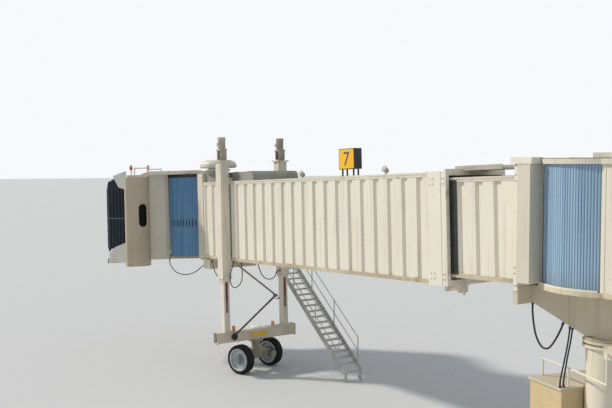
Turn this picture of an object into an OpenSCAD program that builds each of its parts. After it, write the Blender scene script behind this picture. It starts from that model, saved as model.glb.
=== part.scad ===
// Apron-drive passenger boarding bridge: a rotunda on a column, two telescoping corrugated
// tunnels, a pair of screw-lift columns on a steered two-wheel bogie, and a turning cab.
// The origin is the centre of the column's foot. +X runs out along the tunnels, +Y is the
// side of the operator's booth, and the service stair hangs on the -Y side.

/* [Rotunda] */
// Radius of the column below the slewing flange
column_r = 475; // [400:5:500]
// Wall of the column tube
column_wall = 30; // [15:1:60]
// Radius of the foot flange
foot_r = 760; // [700:5:850]
// Number of anchor bolts in the foot flange
anchor_count = 12; // [8:1:16]
// Radius of each anchor bolt hole
anchor_hole_r = 20; // [14:1:26]
// Height of the top of the slewing flange
slew_z = 3980; // [3900:10:4050]
// Radius of the turning sleeve
sleeve_r = 350; // [330:5:400]
// Radius of the king post inside the sleeve
king_r = 200; // [150:5:230]
// Height of the rotunda's walking floor
floor_z = 5280; // [5270:1:5300]
// Thickness of the rotunda floor
floor_t = 110; // [60:5:130]
// Outer radius of the slat curtains
drum_r = 1520; // [1500:5:1540]
// Thickness of a slat curtain
curtain_t = 20; // [10:1:30]
// Height of the underside of the rotunda roof
roof_z = 8080; // [8000:10:8150]
// Thickness of the rotunda roof
roof_t = 120; // [80:5:150]
// Angle from +X to the fixed door posts
post_angle = 120; // [118:1:124]
// Half the width of the fixed corridor stub
stub_half = 1340; // [1310:5:1380]
// Distance from the column axis to the terminal's wall
stub_x = 2000; // [1700:10:2400]

/* [Moving portal] */
// Front face of the portal
portal_x = 1540; // [1530:5:1560]
// Depth of the portal frame
portal_d = 120; // [80:5:140]
// Half the width of the portal frame
portal_half = 1500; // [1450:10:1560]
// Top of the portal
portal_top = 8235; // [8220:1:8300]
// Head of the portal's doorway
doorway_top = 7640; // [7500:10:7660]
// Depth of a curtain housing along the tunnel
housing_d = 380; // [340:5:400]
// Underside of the cross beam that carries the portal
beam_z = 4740; // [4650:10:4800]

/* [Tunnels] */
// Slope of the tunnels towards the cab, in degrees
slope = 2.3; // [1.5:0.1:3]
// Distance of the pitch hinge from the column axis
hinge_x = 1620; // [1615:1:1640]
// Height of the pitch hinge
hinge_z = 5040; // [5030:1:5050]
// Length of the inner tunnel
a_length = 12500; // [12000:50:13000]
// Half the width of the inner tunnel over its rails
a_half = 1000; // [980:1:1005]
// Underside of the inner tunnel above the hinge line
a_low = 110; // [105:1:115]
// Height of the inner tunnel
a_height = 2660; // [2600:10:2680]
// Start of the outer tunnel from the hinge
b_start = 2490; // [2400:10:2600]
// Length of the outer tunnel
b_length = 14380; // [14300:10:14450]
// Half the width of the outer tunnel over its rails
b_half = 1130; // [1125:1:1130]
// Underside of the outer tunnel from the hinge line
b_low = -110; // [-130:1:-105]
// Height of the outer tunnel
b_height = 3045; // [3020:5:3080]
// Height of the side rails
rail_h = 120; // [110:5:130]
// Pitch of the wall corrugations
rib_pitch = 632; // [600:1:660]
// Flat bottom of a corrugation
rib_valley = 140; // [100:5:180]
// Run of a corrugation's sloping side
rib_run = 60; // [40:5:80]
// Depth of a corrugation
rib_depth = 70; // [50:5:70]
// Length of the flat collar at the outer tunnel's mouth
collar_length = 735; // [700:5:780]
// Cover of the collar over the rails
collar_cover = 20; // [10:1:30]
// Side of the box that the roof housing makes above the roof
duct_h = 340; // [300:5:350]

/* [Lift and bogie] */
// Distance of the lift columns from the hinge along the tunnel
lift_u = 14440; // [14300:10:14600]
// Half the spacing of the lift columns
lift_y = 1320; // [1320:1:1340]
// Side of the square outer tube
outer_tube = 370; // [340:5:375]
// Side of the square inner tube
inner_tube = 250; // [220:5:260]
// Lower end of the outer tube from the hinge line
tube_low = -910; // [-1000:10:-850]
// Upper end of the outer tube from the hinge line
tube_high = 3730; // [3600:10:3800]
// Top of the crossbeam over the ground
cross_top = 1640; // [1600:5:1700]
// Height of the crossbeam
cross_h = 410; // [380:5:420]
// Width of the crossbeam
cross_w = 330; // [300:5:360]
// Half the length of the crossbeam
cross_half = 1780; // [1700:10:1800]
// Steering angle of the bogie
steer = 19; // [0:1:30]
// Radius of a tyre
tyre_r = 560; // [540:5:575]
// Width of a tyre
tyre_w = 340; // [300:5:360]
// Radius of a wheel disc
rim_r = 430; // [400:5:450]
// Half the track of the bogie
track_half = 875; // [850:5:900]

/* [Cab] */
// Distance of the cab's turning axis from the hinge
cab_u = 18250; // [18240:1:18260]
// Angle of the cab from straight ahead
cab_turn = 50; // [40:1:55]
// Radius of the cab's slat curtains
cab_drum_r = 1780; // [1775:1:1785]
// Ceiling of the turning ring from the hinge line
ring_ceiling = 3200; // [3180:5:3220]
// Half the width of the cab
cab_half = 1420; // [1400:5:1440]
// Front edge of the cab's side walls from the turning axis
cab_front = 3050; // [3000:10:3100]
// Reach of the canopy past the side walls
canopy_reach = 900; // [850:10:950]

/* [Service stair] */
// Height of one step
riser = 186; // [180:1:190]
// Depth of one step
going = 236; // [230:1:240]
// Number of steps
step_count = 21; // [19:1:21]
// Width of the stair over its stringers
stair_w = 860; // [800:10:900]

/* [Hidden] */
$fn = 96;
// Running gap between pieces that turn on one another
seat = 0.3;
// Gap kept between pieces that move past each other
run_gap = 10;
// Overlap that fuses neighbouring solids of one piece
fuse = 5;

a_high = a_low + a_height;
b_high = b_low + b_height;
a_deck = floor_z - hinge_z - run_gap;
b_deck = b_low + rail_h + run_gap;
b_end = b_start + b_length;
a_inner = a_half - rib_depth - 40;
b_inner = a_half + 30;
a_panel = [a_low + rail_h, a_high - rail_h];
b_panel = [b_low + rail_h, b_high - rail_h];
housing_y = [1190, 1650];
roof_rim_r = drum_r + 80;
floor_rim_r = drum_r + 60;
ring_r = cab_drum_r - curtain_t - seat;
ring_x = -(cab_u - b_end);
ring_deck = b_deck;
ring_top = ring_ceiling + 90;
cab_low = -200;
foot_w = (cross_top - hinge_z + lift_u * sin(slope)) / cos(slope);
foot_x = hinge_x + lift_u * cos(slope) + foot_w * sin(slope);
landing_l = 900;
landing_u = b_end - landing_l - 120;
stair_in = lift_y + outer_tube / 2 + 135;
stair_mid = stair_in + stair_w / 2;
stair_pivot = tunnel_point([landing_u - 30, b_deck - 90]);
slip_u = 2700;
anchor_r = foot_r - 90;
hinge_pin_r = 30;
hinge_lug_r = 55;
roof_low = ring_top + run_gap;
box_in = 1120;
booth_in = 1300;
arm_u = 14050;
arm_t = 40;
arm_gap = 12;
arm_top = [1060, b_low - 90];
arm_hub = [1190, -2979];
arm_elbow = [-730, -1578];
arm_pin_r = 25;

// Places children in the tunnels' own frame: X along the slope, Z square to it.
module on_tunnel() translate([hinge_x, 0, hinge_z]) rotate([0, slope, 0]) children();

// Places children in the cab's frame: X towards the aircraft, Z along the turning axis.
module on_cab() on_tunnel() translate([cab_u, 0, 0]) rotate([0, 0, cab_turn]) children();

// Places children over the bogie's steering axis, turned with it.
module on_bogie() translate([foot_x, 0, 0]) rotate([0, 0, steer]) children();

// A box given by its low and high corners.
module block(low, high) translate(low) cube(high - low);

// Children, and their mirror image on the other side of the tunnels' centre plane.
module both_sides() for (side = [0, 1]) mirror([0, side, 0]) children();

// A ring or arc wall of rectangular section, from angle start over angle sweep.
module arc_wall(r_out, thick, low, high, start, sweep)
    rotate([0, 0, start]) rotate_extrude(angle = sweep, $fn = 128)
        translate([r_out - thick, low]) square([thick, high - low]);

// A bar of square section between two points of the XZ plane, from y0 to y1.
module flat_bar(p, q, wide, y0, y1) {
    d = q - p;
    translate([p.x, y1, p.y]) rotate([0, -atan2(d.y, d.x), 0]) rotate([90, 0, 0])
        linear_extrude(y1 - y0) translate([0, -wide / 2]) square([norm(d), wide]);
}

// A round bar between two points of space.
module round_bar(p, q, r) {
    d = q - p;
    translate(p) rotate([0, acos(d.z / norm(d)), atan2(d.y, d.x)]) cylinder(h = norm(d), r = r, $fn = 20);
}

// A tube of few sides swept along hand-picked route points.
function route_dir(p, i) =
    let (a = p[max(i - 1, 0)], b = p[min(i + 1, len(p) - 1)]) (b - a) / norm(b - a);
function side_of(d) =
    let (ref = abs(d.z) > 0.9 ? [0, 1, 0] : [0, 0, 1], s = cross(ref, d)) s / norm(s);
function smooth_route(p, steps) = [
    for (i = [0 : len(p) - 2])
        let (a = p[max(i - 1, 0)], b = p[i], c = p[i + 1], d = p[min(i + 2, len(p) - 1)])
        for (k = [0 : steps - 1])
            let (t = k / steps)
            0.5 * (2 * b + (c - a) * t + (2 * a - 5 * b + 4 * c - d) * t * t
                + (3 * b - a - 3 * c + d) * t * t * t),
    p[len(p) - 1]
];
module cable(points, r, sides = 8, steps = 4) {
    route = smooth_route(points, steps);
    last = len(route) - 1;
    rings = [
        for (i = [0 : last])
            let (d = i == 0 ? route_dir(points, 0) : i == last ? route_dir(points, len(points) - 1) : route_dir(route, i),
                s = side_of(d), n = cross(d, s))
            for (k = [0 : sides - 1])
                route[i] + r * (cos(360 * k / sides) * s + sin(360 * k / sides) * n)
    ];
    skin = [
        for (i = [0 : last - 1]) for (k = [0 : sides - 1])
            let (m = (k + 1) % sides)
            [i * sides + k, (i + 1) * sides + k, (i + 1) * sides + m, i * sides + m]
    ];
    ends = [
        [for (k = [0 : sides - 1]) k],
        [for (k = [sides - 1 : -1 : 0]) last * sides + k]
    ];
    polyhedron(rings, concat(skin, ends), convexity = 6);
}

// Plan outline of a wall from u0 to u1: flat inside, corrugated outside, with the first
// corrugation starting at groove_u and none within the plain strip at the far end.
module rib_outline(u0, u1, inner, crest, groove_u) {
    valley = crest - rib_depth;
    groove = 2 * rib_run + rib_valley;
    count = floor((u1 - groove_u - groove) / rib_pitch) + 1;
    grooves = [
        for (i = [0 : count - 1])
            let (g = groove_u + i * rib_pitch)
            each [[g, crest], [g + rib_run, valley], [g + groove - rib_run, valley], [g + groove, crest]]
    ];
    polygon(concat([[u0, inner], [u0, crest]], grooves, [[u1, crest], [u1, inner]]));
}

// Deck with side rails and cross members, seen from below as an open frame.
module framed_deck(u0, u1, half, plate_half, low, top, plate_t, spacing) {
    block([u0, -plate_half, top - plate_t], [u1, plate_half, top]);
    both_sides() block([u0, min(half - 90, plate_half - 20), low], [u1, half, low + rail_h]);
    bays = max(1, floor((u1 - u0) / spacing));
    for (i = [0 : bays]) {
        u = u0 + i * (u1 - u0 - 80) / bays;
        block([u, -half + 60, low + 10], [u + 80, half - 60, top - plate_t + fuse]);
    }
}

module column() color("ivory") {
    step_r = column_r + 75;
    difference() {
        union() {
            cylinder(h = 50, r = foot_r);
            cylinder(h = slew_z - seat, r = column_r);
            translate([0, 0, slew_z - seat - 170]) cylinder(h = 60, r = step_r);
            translate([0, 0, slew_z - seat - 60]) cylinder(h = 60, r = step_r);
            cylinder(h = floor_z - floor_t, r = king_r);
            for (i = [0 : anchor_count - 1])
                rotate([0, 0, (i + 0.5) * 360 / anchor_count]) translate([column_r - fuse, 10, 50 - fuse])
                    rotate([90, 0, 0]) linear_extrude(20)
                        polygon([[0, 0], [foot_r - column_r - 30, 0], [0, 380]]);
            block([-560, 260, slew_z - 320], [-350, 600, slew_z - 20]);
        }
        translate([0, 0, -1]) cylinder(h = slew_z - 400, r = column_r - column_wall);
        for (i = [0 : anchor_count - 1])
            rotate([0, 0, i * 360 / anchor_count]) translate([anchor_r, 0, -1])
                cylinder(h = 52, r = anchor_hole_r);
    }
}

block_turn = -14;
block_x = [385, 1600];
block_y = [-900, 965];
block_z = 2800;
module service_block() color("tan") {
    difference() {
        rotate([0, 0, block_turn]) {
            block([block_x[0], block_y[0], 0], [block_x[1], block_y[1], block_z - 60]);
            block([block_x[0] - 20, block_y[0] - 40, block_z - 60], [block_x[1] + 40, block_y[1] + 40, block_z]);
        }
        translate([0, 0, -1]) cylinder(h = 481, r = foot_r + 4 * run_gap);
        translate([0, 0, 479]) cylinder(h = block_z, r = column_r + 4 * run_gap);
    }
    left = [630, 560, rail_z];
    back = [1650, 250, rail_z];
    right = [-820, 1130, rail_z];
    box_side = [-455, 600 + 0.6 * rail_r + seat, slew_z - 200];
    rail_run([[left.x, left.y, block_z], left, right, [right.x, right.y, box_side.z], box_side]);
    rail_run([left, back, [back.x, back.y, block_z]]);
}

rail_r = 24;
rail_z = 3240;
// Handrail along its points, with a ball fitting at each bend.
module rail_run(points) {
    last = len(points) - 1;
    for (i = [1 : last]) round_bar(points[i - 1], points[i], rail_r);
    for (i = [1 : last - 1]) translate(points[i]) sphere(rail_r + 8, $fn = 32);
}
module rotunda_floor() color("ivory") translate([0, 0, floor_z - floor_t]) linear_extrude(floor_t) {
    circle(floor_rim_r);
    translate([-stub_x, -stub_half]) square([stub_x, 2 * stub_half]);
}

module rotunda_roof() color("ivory") {
    difference() {
        translate([0, 0, roof_z]) linear_extrude(roof_t) {
            circle(roof_rim_r);
            translate([-stub_x, -stub_half - 60]) square([stub_x, 2 * stub_half + 120]);
        }
        translate([0, 0, roof_z + roof_t - 25]) cylinder(h = 30, r = roof_rim_r - 70);
    }
    block([-980, 780, roof_z + roof_t - 30], [-480, 1280, roof_z + roof_t + 130]);
}

module terminal_walls() color("ivory") both_sides() {
    post_x = drum_r * cos(post_angle);
    low = floor_z;
    block([post_x - 100, stub_half - 120, low], [post_x, stub_half, roof_z]);
    block([-stub_x, stub_half - 90, low], [post_x - 100 + fuse, stub_half - 10, roof_z]);
    block([-stub_x, stub_half - 160, low], [-stub_x + 120, stub_half, roof_z]);
}

module rotunda_curtains() color("lightsteelblue") both_sides()
    arc_wall(drum_r, curtain_t, floor_z + seat, roof_z - seat, 54, post_angle - 54 - 3);

column_cable_routes = [
    [[600, 578, 4242], [618, 600, 3950], [650, 680, 3500], [678, 800, 2980], [680, 800, block_z + seat]],
    [[545, 552, 4208], [575, 575, 3900], [630, 630, 3450], [658, 700, 2980], [660, 700, block_z + seat]]
];
module column_cables() color("black")
    for (route = column_cable_routes) cable(route, 20);

module girder() color("ivory") {
    top = floor_z - floor_t - run_gap;
    beam_x = portal_x - portal_d - 20;
    difference() {
        union() {
            translate([0, 0, slew_z]) cylinder(h = top - slew_z, r = sleeve_r);
            translate([0, 0, slew_z]) cylinder(h = 45, r = column_r + 40);
            intersection() {
                translate([0, 0, slew_z]) linear_extrude(top - slew_z)
                    polygon([[0, -300], [beam_x, -950], [beam_x, 950], [0, 300]]);
                translate([0, 1000, 0]) rotate([90, 0, 0]) linear_extrude(2000)
                    polygon([[0, 4070], [300, 4070], [beam_x, beam_z], [beam_x, top], [0, top]]);
            }
            block([beam_x - fuse, -portal_half, beam_z], [portal_x, portal_half, top]);
            for (y = [790, 970]) both_sides() hinge_ear(y);
        }
        translate([0, 0, slew_z - 1]) cylinder(h = top - slew_z + 2, r = king_r + seat);
    }
    both_sides() translate([hinge_x, 1020, hinge_z]) rotate([90, 0, 0])
        cylinder(h = 240, r = hinge_pin_r, $fn = 48);
}

// One ear of the pitch hinge, standing on the cross beam's front face.
module hinge_ear(y) translate([0, y + 40, 0]) rotate([90, 0, 0]) linear_extrude(40) {
    translate([hinge_x, hinge_z]) circle(hinge_lug_r, $fn = 48);
    translate([portal_x - fuse, hinge_z - hinge_lug_r])
        square([hinge_x - portal_x + fuse, 2 * hinge_lug_r]);
}

module portal_frame() color("ivory") {
    low = floor_z - floor_t - run_gap;
    difference() {
        union() {
            block([portal_x - portal_d, -portal_half, low], [portal_x, portal_half, portal_top]);
            block([900, -housing_y[1], roof_z], [portal_x, housing_y[1], portal_top]);
        }
        block([portal_x - portal_d - 1, 25 + run_gap - a_inner, low - 1],
            [portal_x + 1, a_inner - 25 - run_gap, doorway_top]);
        translate([0, 0, low - 1]) cylinder(h = floor_t + 2 * run_gap + 1, r = floor_rim_r + run_gap);
        translate([0, 0, roof_z - 2 * run_gap])
            cylinder(h = portal_top - roof_z + 3 * run_gap, r = roof_rim_r + run_gap);
    }
    throat();
}

// Tube that reaches from the portal into the inner tunnel and bridges the pitch gap.
module throat() {
    reach = portal_x + 600;
    out = a_inner - run_gap;
    difference() {
        translate([0, out, 0]) rotate([90, 0, 0]) linear_extrude(2 * out)
            polygon([[portal_x - fuse, floor_z + 10], [portal_x + 60, floor_z + 10], [reach, floor_z + 60],
                [reach, doorway_top + 30], [portal_x - fuse, doorway_top + 30]]);
        block([portal_x - fuse - 1, 25 - out, floor_z - 1], [reach + 1, out - 25, doorway_top]);
    }
}

// Boxes beside the portal that take up the slat curtains on their rollers.
module curtain_housings() color("ivory") both_sides() {
    back = portal_x - portal_d - housing_d - 100;
    low = floor_z + run_gap;
    high = roof_z - run_gap;
    difference() {
        block([back, housing_y[0], low], [portal_x - portal_d - 100, housing_y[1], high]);
        block([back + 30, housing_y[0] - 1, low + 30],
            [portal_x - portal_d - 130, housing_y[1] - 30, high - 30]);
    }
    block([portal_x - portal_d - 100, housing_y[0] + 90, low], [portal_x - portal_d, housing_y[1] - 150, high]);
    translate([back + housing_d / 2, housing_y[0] + 240, low + 30])
        cylinder(h = high - low - 60, r = 110, $fn = 48);
}

module girder_cable() color("black")
    cable([[1450, 894, beam_z - seat], [1450, 894, 4450], [1320, 940, 4000], [1130, 955, 3730],
        [960, 910, 3700], [850, 820, 3880], [770, 710, 4140], [741, 640, 4326]], 24);

module tunnel_a_floor() color("ivory") {
    on_tunnel() {
        framed_deck(20, a_length, a_half, a_half, a_low, a_deck, 40, 1260);
        both_sides() block([a_length - 320, 700, b_deck + seat], [a_length - 60, 900, a_low + 20]);
        both_sides() difference() {
            union() {
                translate([0, 950, 0]) rotate([90, 0, 0]) cylinder(h = 100, r = hinge_lug_r, $fn = 48);
                block([0, 850, -hinge_lug_r + 5], [hinge_lug_r - 5, 950, a_low + fuse]);
                block([0, 850, 0], [220, 950, a_low + fuse]);
            }
            translate([0, 960, 0]) rotate([90, 0, 0]) cylinder(h = 120, r = hinge_pin_r + 0.1, $fn = 48);
        }
    }
}

module tunnel_a_roof() color("ivory") on_tunnel() {
    top_start = 260;
    block([top_start, -a_half, a_high - 70], [a_length, a_half, a_high]);
    both_sides() block([top_start, a_half - 90, a_high - rail_h], [a_length, a_half, a_high - 70 + fuse]);
    for (i = [1 : 9]) translate([top_start + i * (a_length - top_start) / 10, 0, 0])
        block([-30, -a_half + 60, a_high - 110], [30, a_half - 60, a_high - 70 + fuse]);
}

module tunnel_a_walls() color("ivory") on_tunnel() both_sides() difference() {
    translate([0, 0, a_panel[0]]) linear_extrude(a_panel[1] - a_panel[0])
        rib_outline(20, a_length, a_inner, a_half - 10, 700);
    translate([0, a_half + 200, 0]) rotate([90, 0, 0]) linear_extrude(600)
        polygon([[-50, a_panel[0]], [20, a_panel[0]], [260, a_high], [-50, a_high]]);
}

module tunnel_b_floor() color("ivory") on_tunnel() {
    framed_deck(b_start + collar_length, b_end - 450, b_half, b_inner - seat, b_low, b_deck, 30, 1260);
    u = arm_u - arm_gap / 2 - arm_t;
    block([u - 30 - seat, arm_top.x - 60, arm_top.y - 60], [u - seat, arm_top.x + 60, b_low + fuse]);
    translate([u - 30 - seat, arm_top.x, arm_top.y]) rotate([0, 90, 0])
        cylinder(h = arm_t + 30 + seat, r = arm_pin_r, $fn = 48);
}

module tunnel_b_roof() color("ivory") on_tunnel() {
    u0 = b_start + collar_length;
    u1 = b_end - 450;
    block([u0, -b_half, b_high - 70], [u1, b_half, b_high]);
    both_sides() block([u0, b_half - 90, b_high - rail_h], [u1, b_half, b_high - 70 + fuse]);
    block([u0 + 60, -b_half + 20, b_high - fuse], [u0 + 90, b_half - 20, b_high + 25]);
}

module b_wall() translate([0, 0, b_panel[0]]) linear_extrude(b_panel[1] - b_panel[0])
    rib_outline(b_start + collar_length, b_end - 450, b_inner, b_half - 10, 3430);

door_u = [landing_u + 80, landing_u + 780];
door_low = b_panel[0];
door_top = b_deck + 2080;

// Both long walls of the outer tunnel, with the service door closed in the far one.
module tunnel_b_walls() color("ivory") on_tunnel() {
    b_wall();
    difference() {
        mirror([0, 1, 0]) b_wall();
        block([door_u[0], -b_half - 10, door_low - 1], [b_end, -b_inner + 10, door_top]);
    }
    y0 = -b_half + 15;
    y1 = -b_inner - 15;
    difference() {
        block([door_u[0] + seat, y0, door_low + seat], [door_u[1] - seat, y1, door_top - seat]);
        block([door_u[0] + 190, y0 - 1, door_top - 800], [door_u[1] - 190, y1 + 1, door_top - 250]);
    }
    translate([door_u[1] - 90, y0 + fuse, b_deck + 1000]) rotate([90, 0, 0]) cylinder(h = 60, r = 16, $fn = 24);
    block([door_u[1] - 190, y0 - 62, b_deck + 985], [door_u[1] - 74, y0 - 42, b_deck + 1015]);
}

// Flat-plated ring at the mouth of the outer tunnel.
module tunnel_b_collar() color("ivory") on_tunnel() {
    u0 = b_start;
    u1 = b_start + collar_length;
    out = b_half + collar_cover;
    difference() {
        block([u0, -out, b_low - 20], [u1, out, b_high + 20]);
        block([u0 - 1, -b_inner, b_deck], [u1 + 1, b_inner, b_high - 105]);
    }
    both_sides() block([u0 + 200, out - fuse, b_low - 20], [u0 + 225, out + 12, b_high + 20]);
    block([u0, -out, b_high + 20 - fuse], [u0 + 60, -520, b_high + 70]);
    block([u0, 520, b_high + 20 - fuse], [u0 + 60, out, b_high + 70]);
    support_rollers();
    under_drum();
}

module tunnel_b_end_frame() color("ivory") on_tunnel() {
    u0 = b_end - 450;
    out = b_half + collar_cover;
    difference() {
        block([u0, -out, b_low - 40], [b_end, out, ring_top]);
        block([u0 - 1, -b_inner, b_deck], [b_end + 1, b_inner, b_high - 105]);
        block([u0 + 60, -out + 60, b_high], [b_end + 1, out - 60, ring_ceiling]);
        block([u0 - 1, -out - 1, door_low], [door_u[1], -b_inner + 10, door_top]);
    }
    block([u0 - 330, -out + 60, b_low - 440], [u0 + 180, out - 60, b_low - 40 + fuse]);
}

// Rollers on the outer tunnel's deck that carry the inner tunnel's side rails.
module support_rollers() {
    mid = (b_deck + a_low) / 2;
    roller_r = (a_low - b_deck) / 2 - seat;
    both_sides() {
        translate([slip_u, 980, mid]) rotate([90, 0, 0]) cylinder(h = 160, r = roller_r, $fn = 48);
        for (y = [790, 985]) block([slip_u - 60, y, b_deck - fuse], [slip_u + 60, y + 25, mid + 20]);
        translate([slip_u, 1000, mid]) rotate([90, 0, 0]) cylinder(h = 200, r = 18, $fn = 24);
    }
}

// Cable drum and hook under the mouth of the outer tunnel.
module under_drum() {
    block([b_start + 40, 300, b_low - 60], [b_start + 640, 720, b_low - 20 + fuse]);
    for (u = [b_start + 60, b_start + 560]) block([u, 330, b_low - 240], [u + 30, 690, b_low - 60 + fuse]);
    translate([b_start + 60, 510, b_low - 150]) rotate([0, 90, 0]) cylinder(h = 530, r = 70, $fn = 48);
    block([b_start + 10, 480, b_low - 300], [b_start + 60 + fuse, 540, b_low - 120]);
}

module square_tube(side, bore, low, high) difference() {
    block([-side / 2, -side / 2, low], [side / 2, side / 2, high]);
    block([-bore / 2, -bore / 2, low - 1], [bore / 2, bore / 2, high + 1]);
}

module lift_tubes() color("ivory") on_tunnel() both_sides() translate([lift_u, lift_y, 0]) {
    bore = inner_tube + 2 * seat;
    square_tube(outer_tube, bore, tube_low + 120, tube_high);
    square_tube(outer_tube + 60, bore, tube_low + 120, tube_low + 200);
    square_tube(outer_tube - 40, bore, tube_low, tube_low + 120 + fuse);
    block([-260, -outer_tube / 2 - 60, tube_high - 40], [260, outer_tube / 2 + 60, tube_high]);
    for (w = [b_low - 140 - seat, b_high + seat], x = [-230, outer_tube / 2 - fuse])
        block([x, -(lift_y - b_half + 250), w], [x + 50, -outer_tube / 2 + 120, w + 140]);
}

module lift_drives() color("gray") on_tunnel() both_sides() translate([lift_u, lift_y, tube_high]) {
    cylinder(h = 60, r = 170);
    for (x = [-150, 110]) block([x, -130, 50], [x + 40, 130, 400]);
    block([-170, -150, 380], [170, 150, 440]);
    translate([0, 0, 430]) cylinder(h = 330, r = 140);
    translate([0, 0, 755]) cylinder(h = 130, r = 155);
    translate([0, 0, 55]) cylinder(h = 330, r = 45, $fn = 32);
    block([120, -80, 560], [260, 80, 700]);
}

module roof_housing() color("darkgray") on_tunnel() difference() {
    u0 = 12680;
    u1 = b_end - 450;
    translate([0, 1000, 0]) rotate([90, 0, 0]) linear_extrude(2000)
        polygon([[u0, b_high], [u0 + 40, b_high + duct_h - 90], [u0 + 150, b_high + duct_h], [u1, b_high + duct_h],
            [u1, b_high]]);
    block([u0 + 200, -960, b_high - 1], [u1 + 1, 960, b_high + duct_h - 40]);
    for (side = [-1, 1])
        translate([lift_u - 240, side > 0 ? 930 : -1001, b_high - 1]) cube([480, 71, 170]);
}

cab_hub_r = 420;
vent_at = [16000, 640];
vent_r = 735;
module roof_ventilator() color("white") on_tunnel() translate([vent_at.x, vent_at.y, b_high + duct_h]) {
    cylinder(h = 260, r = 400);
    translate([0, 0, 110]) cylinder(h = 60, r = 480);
    translate([0, 0, 230]) rotate_extrude()
        polygon([[0, 0], [vent_r - 25, 0], [vent_r, 40], [vent_r, 130], [vent_r - 60, 230], [vent_r - 220, 310],
            [0, 345]]);
}

module roof_fittings() color("gray") {
    cable_tray();
    floodlights();
}

module cable_tray() on_tunnel() {
    u0 = b_start - 1400;
    low = b_high + 20 + seat;
    both_sides() block([u0, 480, low], [b_start + 300, 500, low + 130]);
    block([u0, -480 - fuse, low], [b_start + 300, 480 + fuse, low + 12]);
    for (i = [0 : 4]) block([u0 + 400 * i, -480 - fuse, low], [u0 + 400 * i + 30, 480 + fuse, low + 40]);
}

module sign_box() color("gold") on_tunnel() {
    at = [6990, b_half - 260];
    low = b_high + 215;
    block([at.x - 390, at.y - 150, low], [at.x + 390, at.y + 150, low + 640]);
    for (x = [-300, 260], y = [-110, 70])
        block([at.x + x, at.y + y, b_high], [at.x + x + 40, at.y + y + 40, low + fuse]);
}

module floodlights() on_tunnel() for (u = [5080, 9420]) translate([u, b_half - 90, b_high]) {
    cylinder(h = 90, r = 25, $fn = 24);
    translate([0, 0, 130]) rotate([-60, 0, 0]) cylinder(h = 170, r1 = 60, r2 = 95, center = true, $fn = 32);
}

module ring_plan() difference() {
    circle(ring_r, $fn = 128);
    translate([-ring_r - 1, -ring_r]) square([ring_x + ring_r + 1, 2 * ring_r]);
}

module ring_floor() color("ivory") on_tunnel() translate([cab_u, 0, 0]) {
    axle_low = -300;
    translate([0, 0, ring_deck - 90]) linear_extrude(90) ring_plan();
    translate([0, 0, axle_low]) cylinder(h = ring_deck - 90 - axle_low + fuse, r = 250);
    translate([0, 0, axle_low - 30]) cylinder(h = 30 + fuse, r = 330);
    block([ring_x, -290, axle_low + 20], [-cab_hub_r - 60, 290, ring_deck - 90 + fuse]);
}

module ring_roof() color("ivory") on_tunnel() translate([cab_u, 0, 0]) {
    translate([0, 0, ring_ceiling]) linear_extrude(ring_top - ring_ceiling) ring_plan();
    translate([0, 0, ring_top - fuse]) cylinder(h = 170, r = 100);
}

module cab_curtains() color("steelblue") on_tunnel() translate([cab_u, 0, 0]) {
    jamb = 180 - asin((b_half - 10) / cab_drum_r) - 1;
    box = asin(1120 / cab_drum_r) + 2;
    arc_wall(cab_drum_r, curtain_t, ring_deck - 90, ring_top, cab_turn + box, jamb - cab_turn - box);
    arc_wall(cab_drum_r, curtain_t, ring_deck - 90, ring_top, -jamb, jamb + cab_turn - box);
}

module stair_landing() color("silver") on_tunnel() {
    y0 = -(stair_in + stair_w);
    y1 = -b_half - collar_cover - seat;
    u0 = landing_u;
    u1 = landing_u + landing_l;
    deck = b_deck;
    block([u0, y0, deck - 40], [u1, y1, deck]);
    block([u0, y0, deck - 130], [u0 + 60, -b_half - seat, deck - 40 + fuse]);
    block([u1 - 60, y0, deck - 130], [u1, y1, deck - 40 + fuse]);
    block([u0, y0, deck - 130], [u1, y0 + 50, deck - 40 + fuse]);
    block([u0, y0, deck + 5 - fuse], [u1, y0 + 12, deck + 100]);
    corners = [[u0 + 25, y0 + 25], [u1 - 30, y0 + 25], [u1 - 30, y1 - 60]];
    side = [[u0 + 25, y1 - 60], [u0 + 25, -stair_in + 40]];
    for (c = concat(corners, side)) round_bar([c.x, c.y, deck - fuse], [c.x, c.y, deck + 1120], 21);
    for (h = [550, 1100]) {
        round_bar([corners[0].x, corners[0].y, deck + h], [corners[1].x, corners[1].y, deck + h], 18);
        round_bar([corners[1].x, corners[1].y, deck + h], [corners[2].x, corners[2].y, deck + h], 18);
        round_bar([side[0].x, side[0].y, deck + h], [side[1].x, side[1].y, deck + h], 18);
    }
    translate([u0 - 30, -stair_mid + 60, deck - 90]) rotate([90, 0, 0]) cylinder(h = 120, r = 20, $fn = 32);
    for (y = [-stair_mid - 60, -stair_mid + 40]) block([u0 - 50, y, deck - 110], [u0 + fuse, y + 20, deck - 70]);
}

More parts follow.
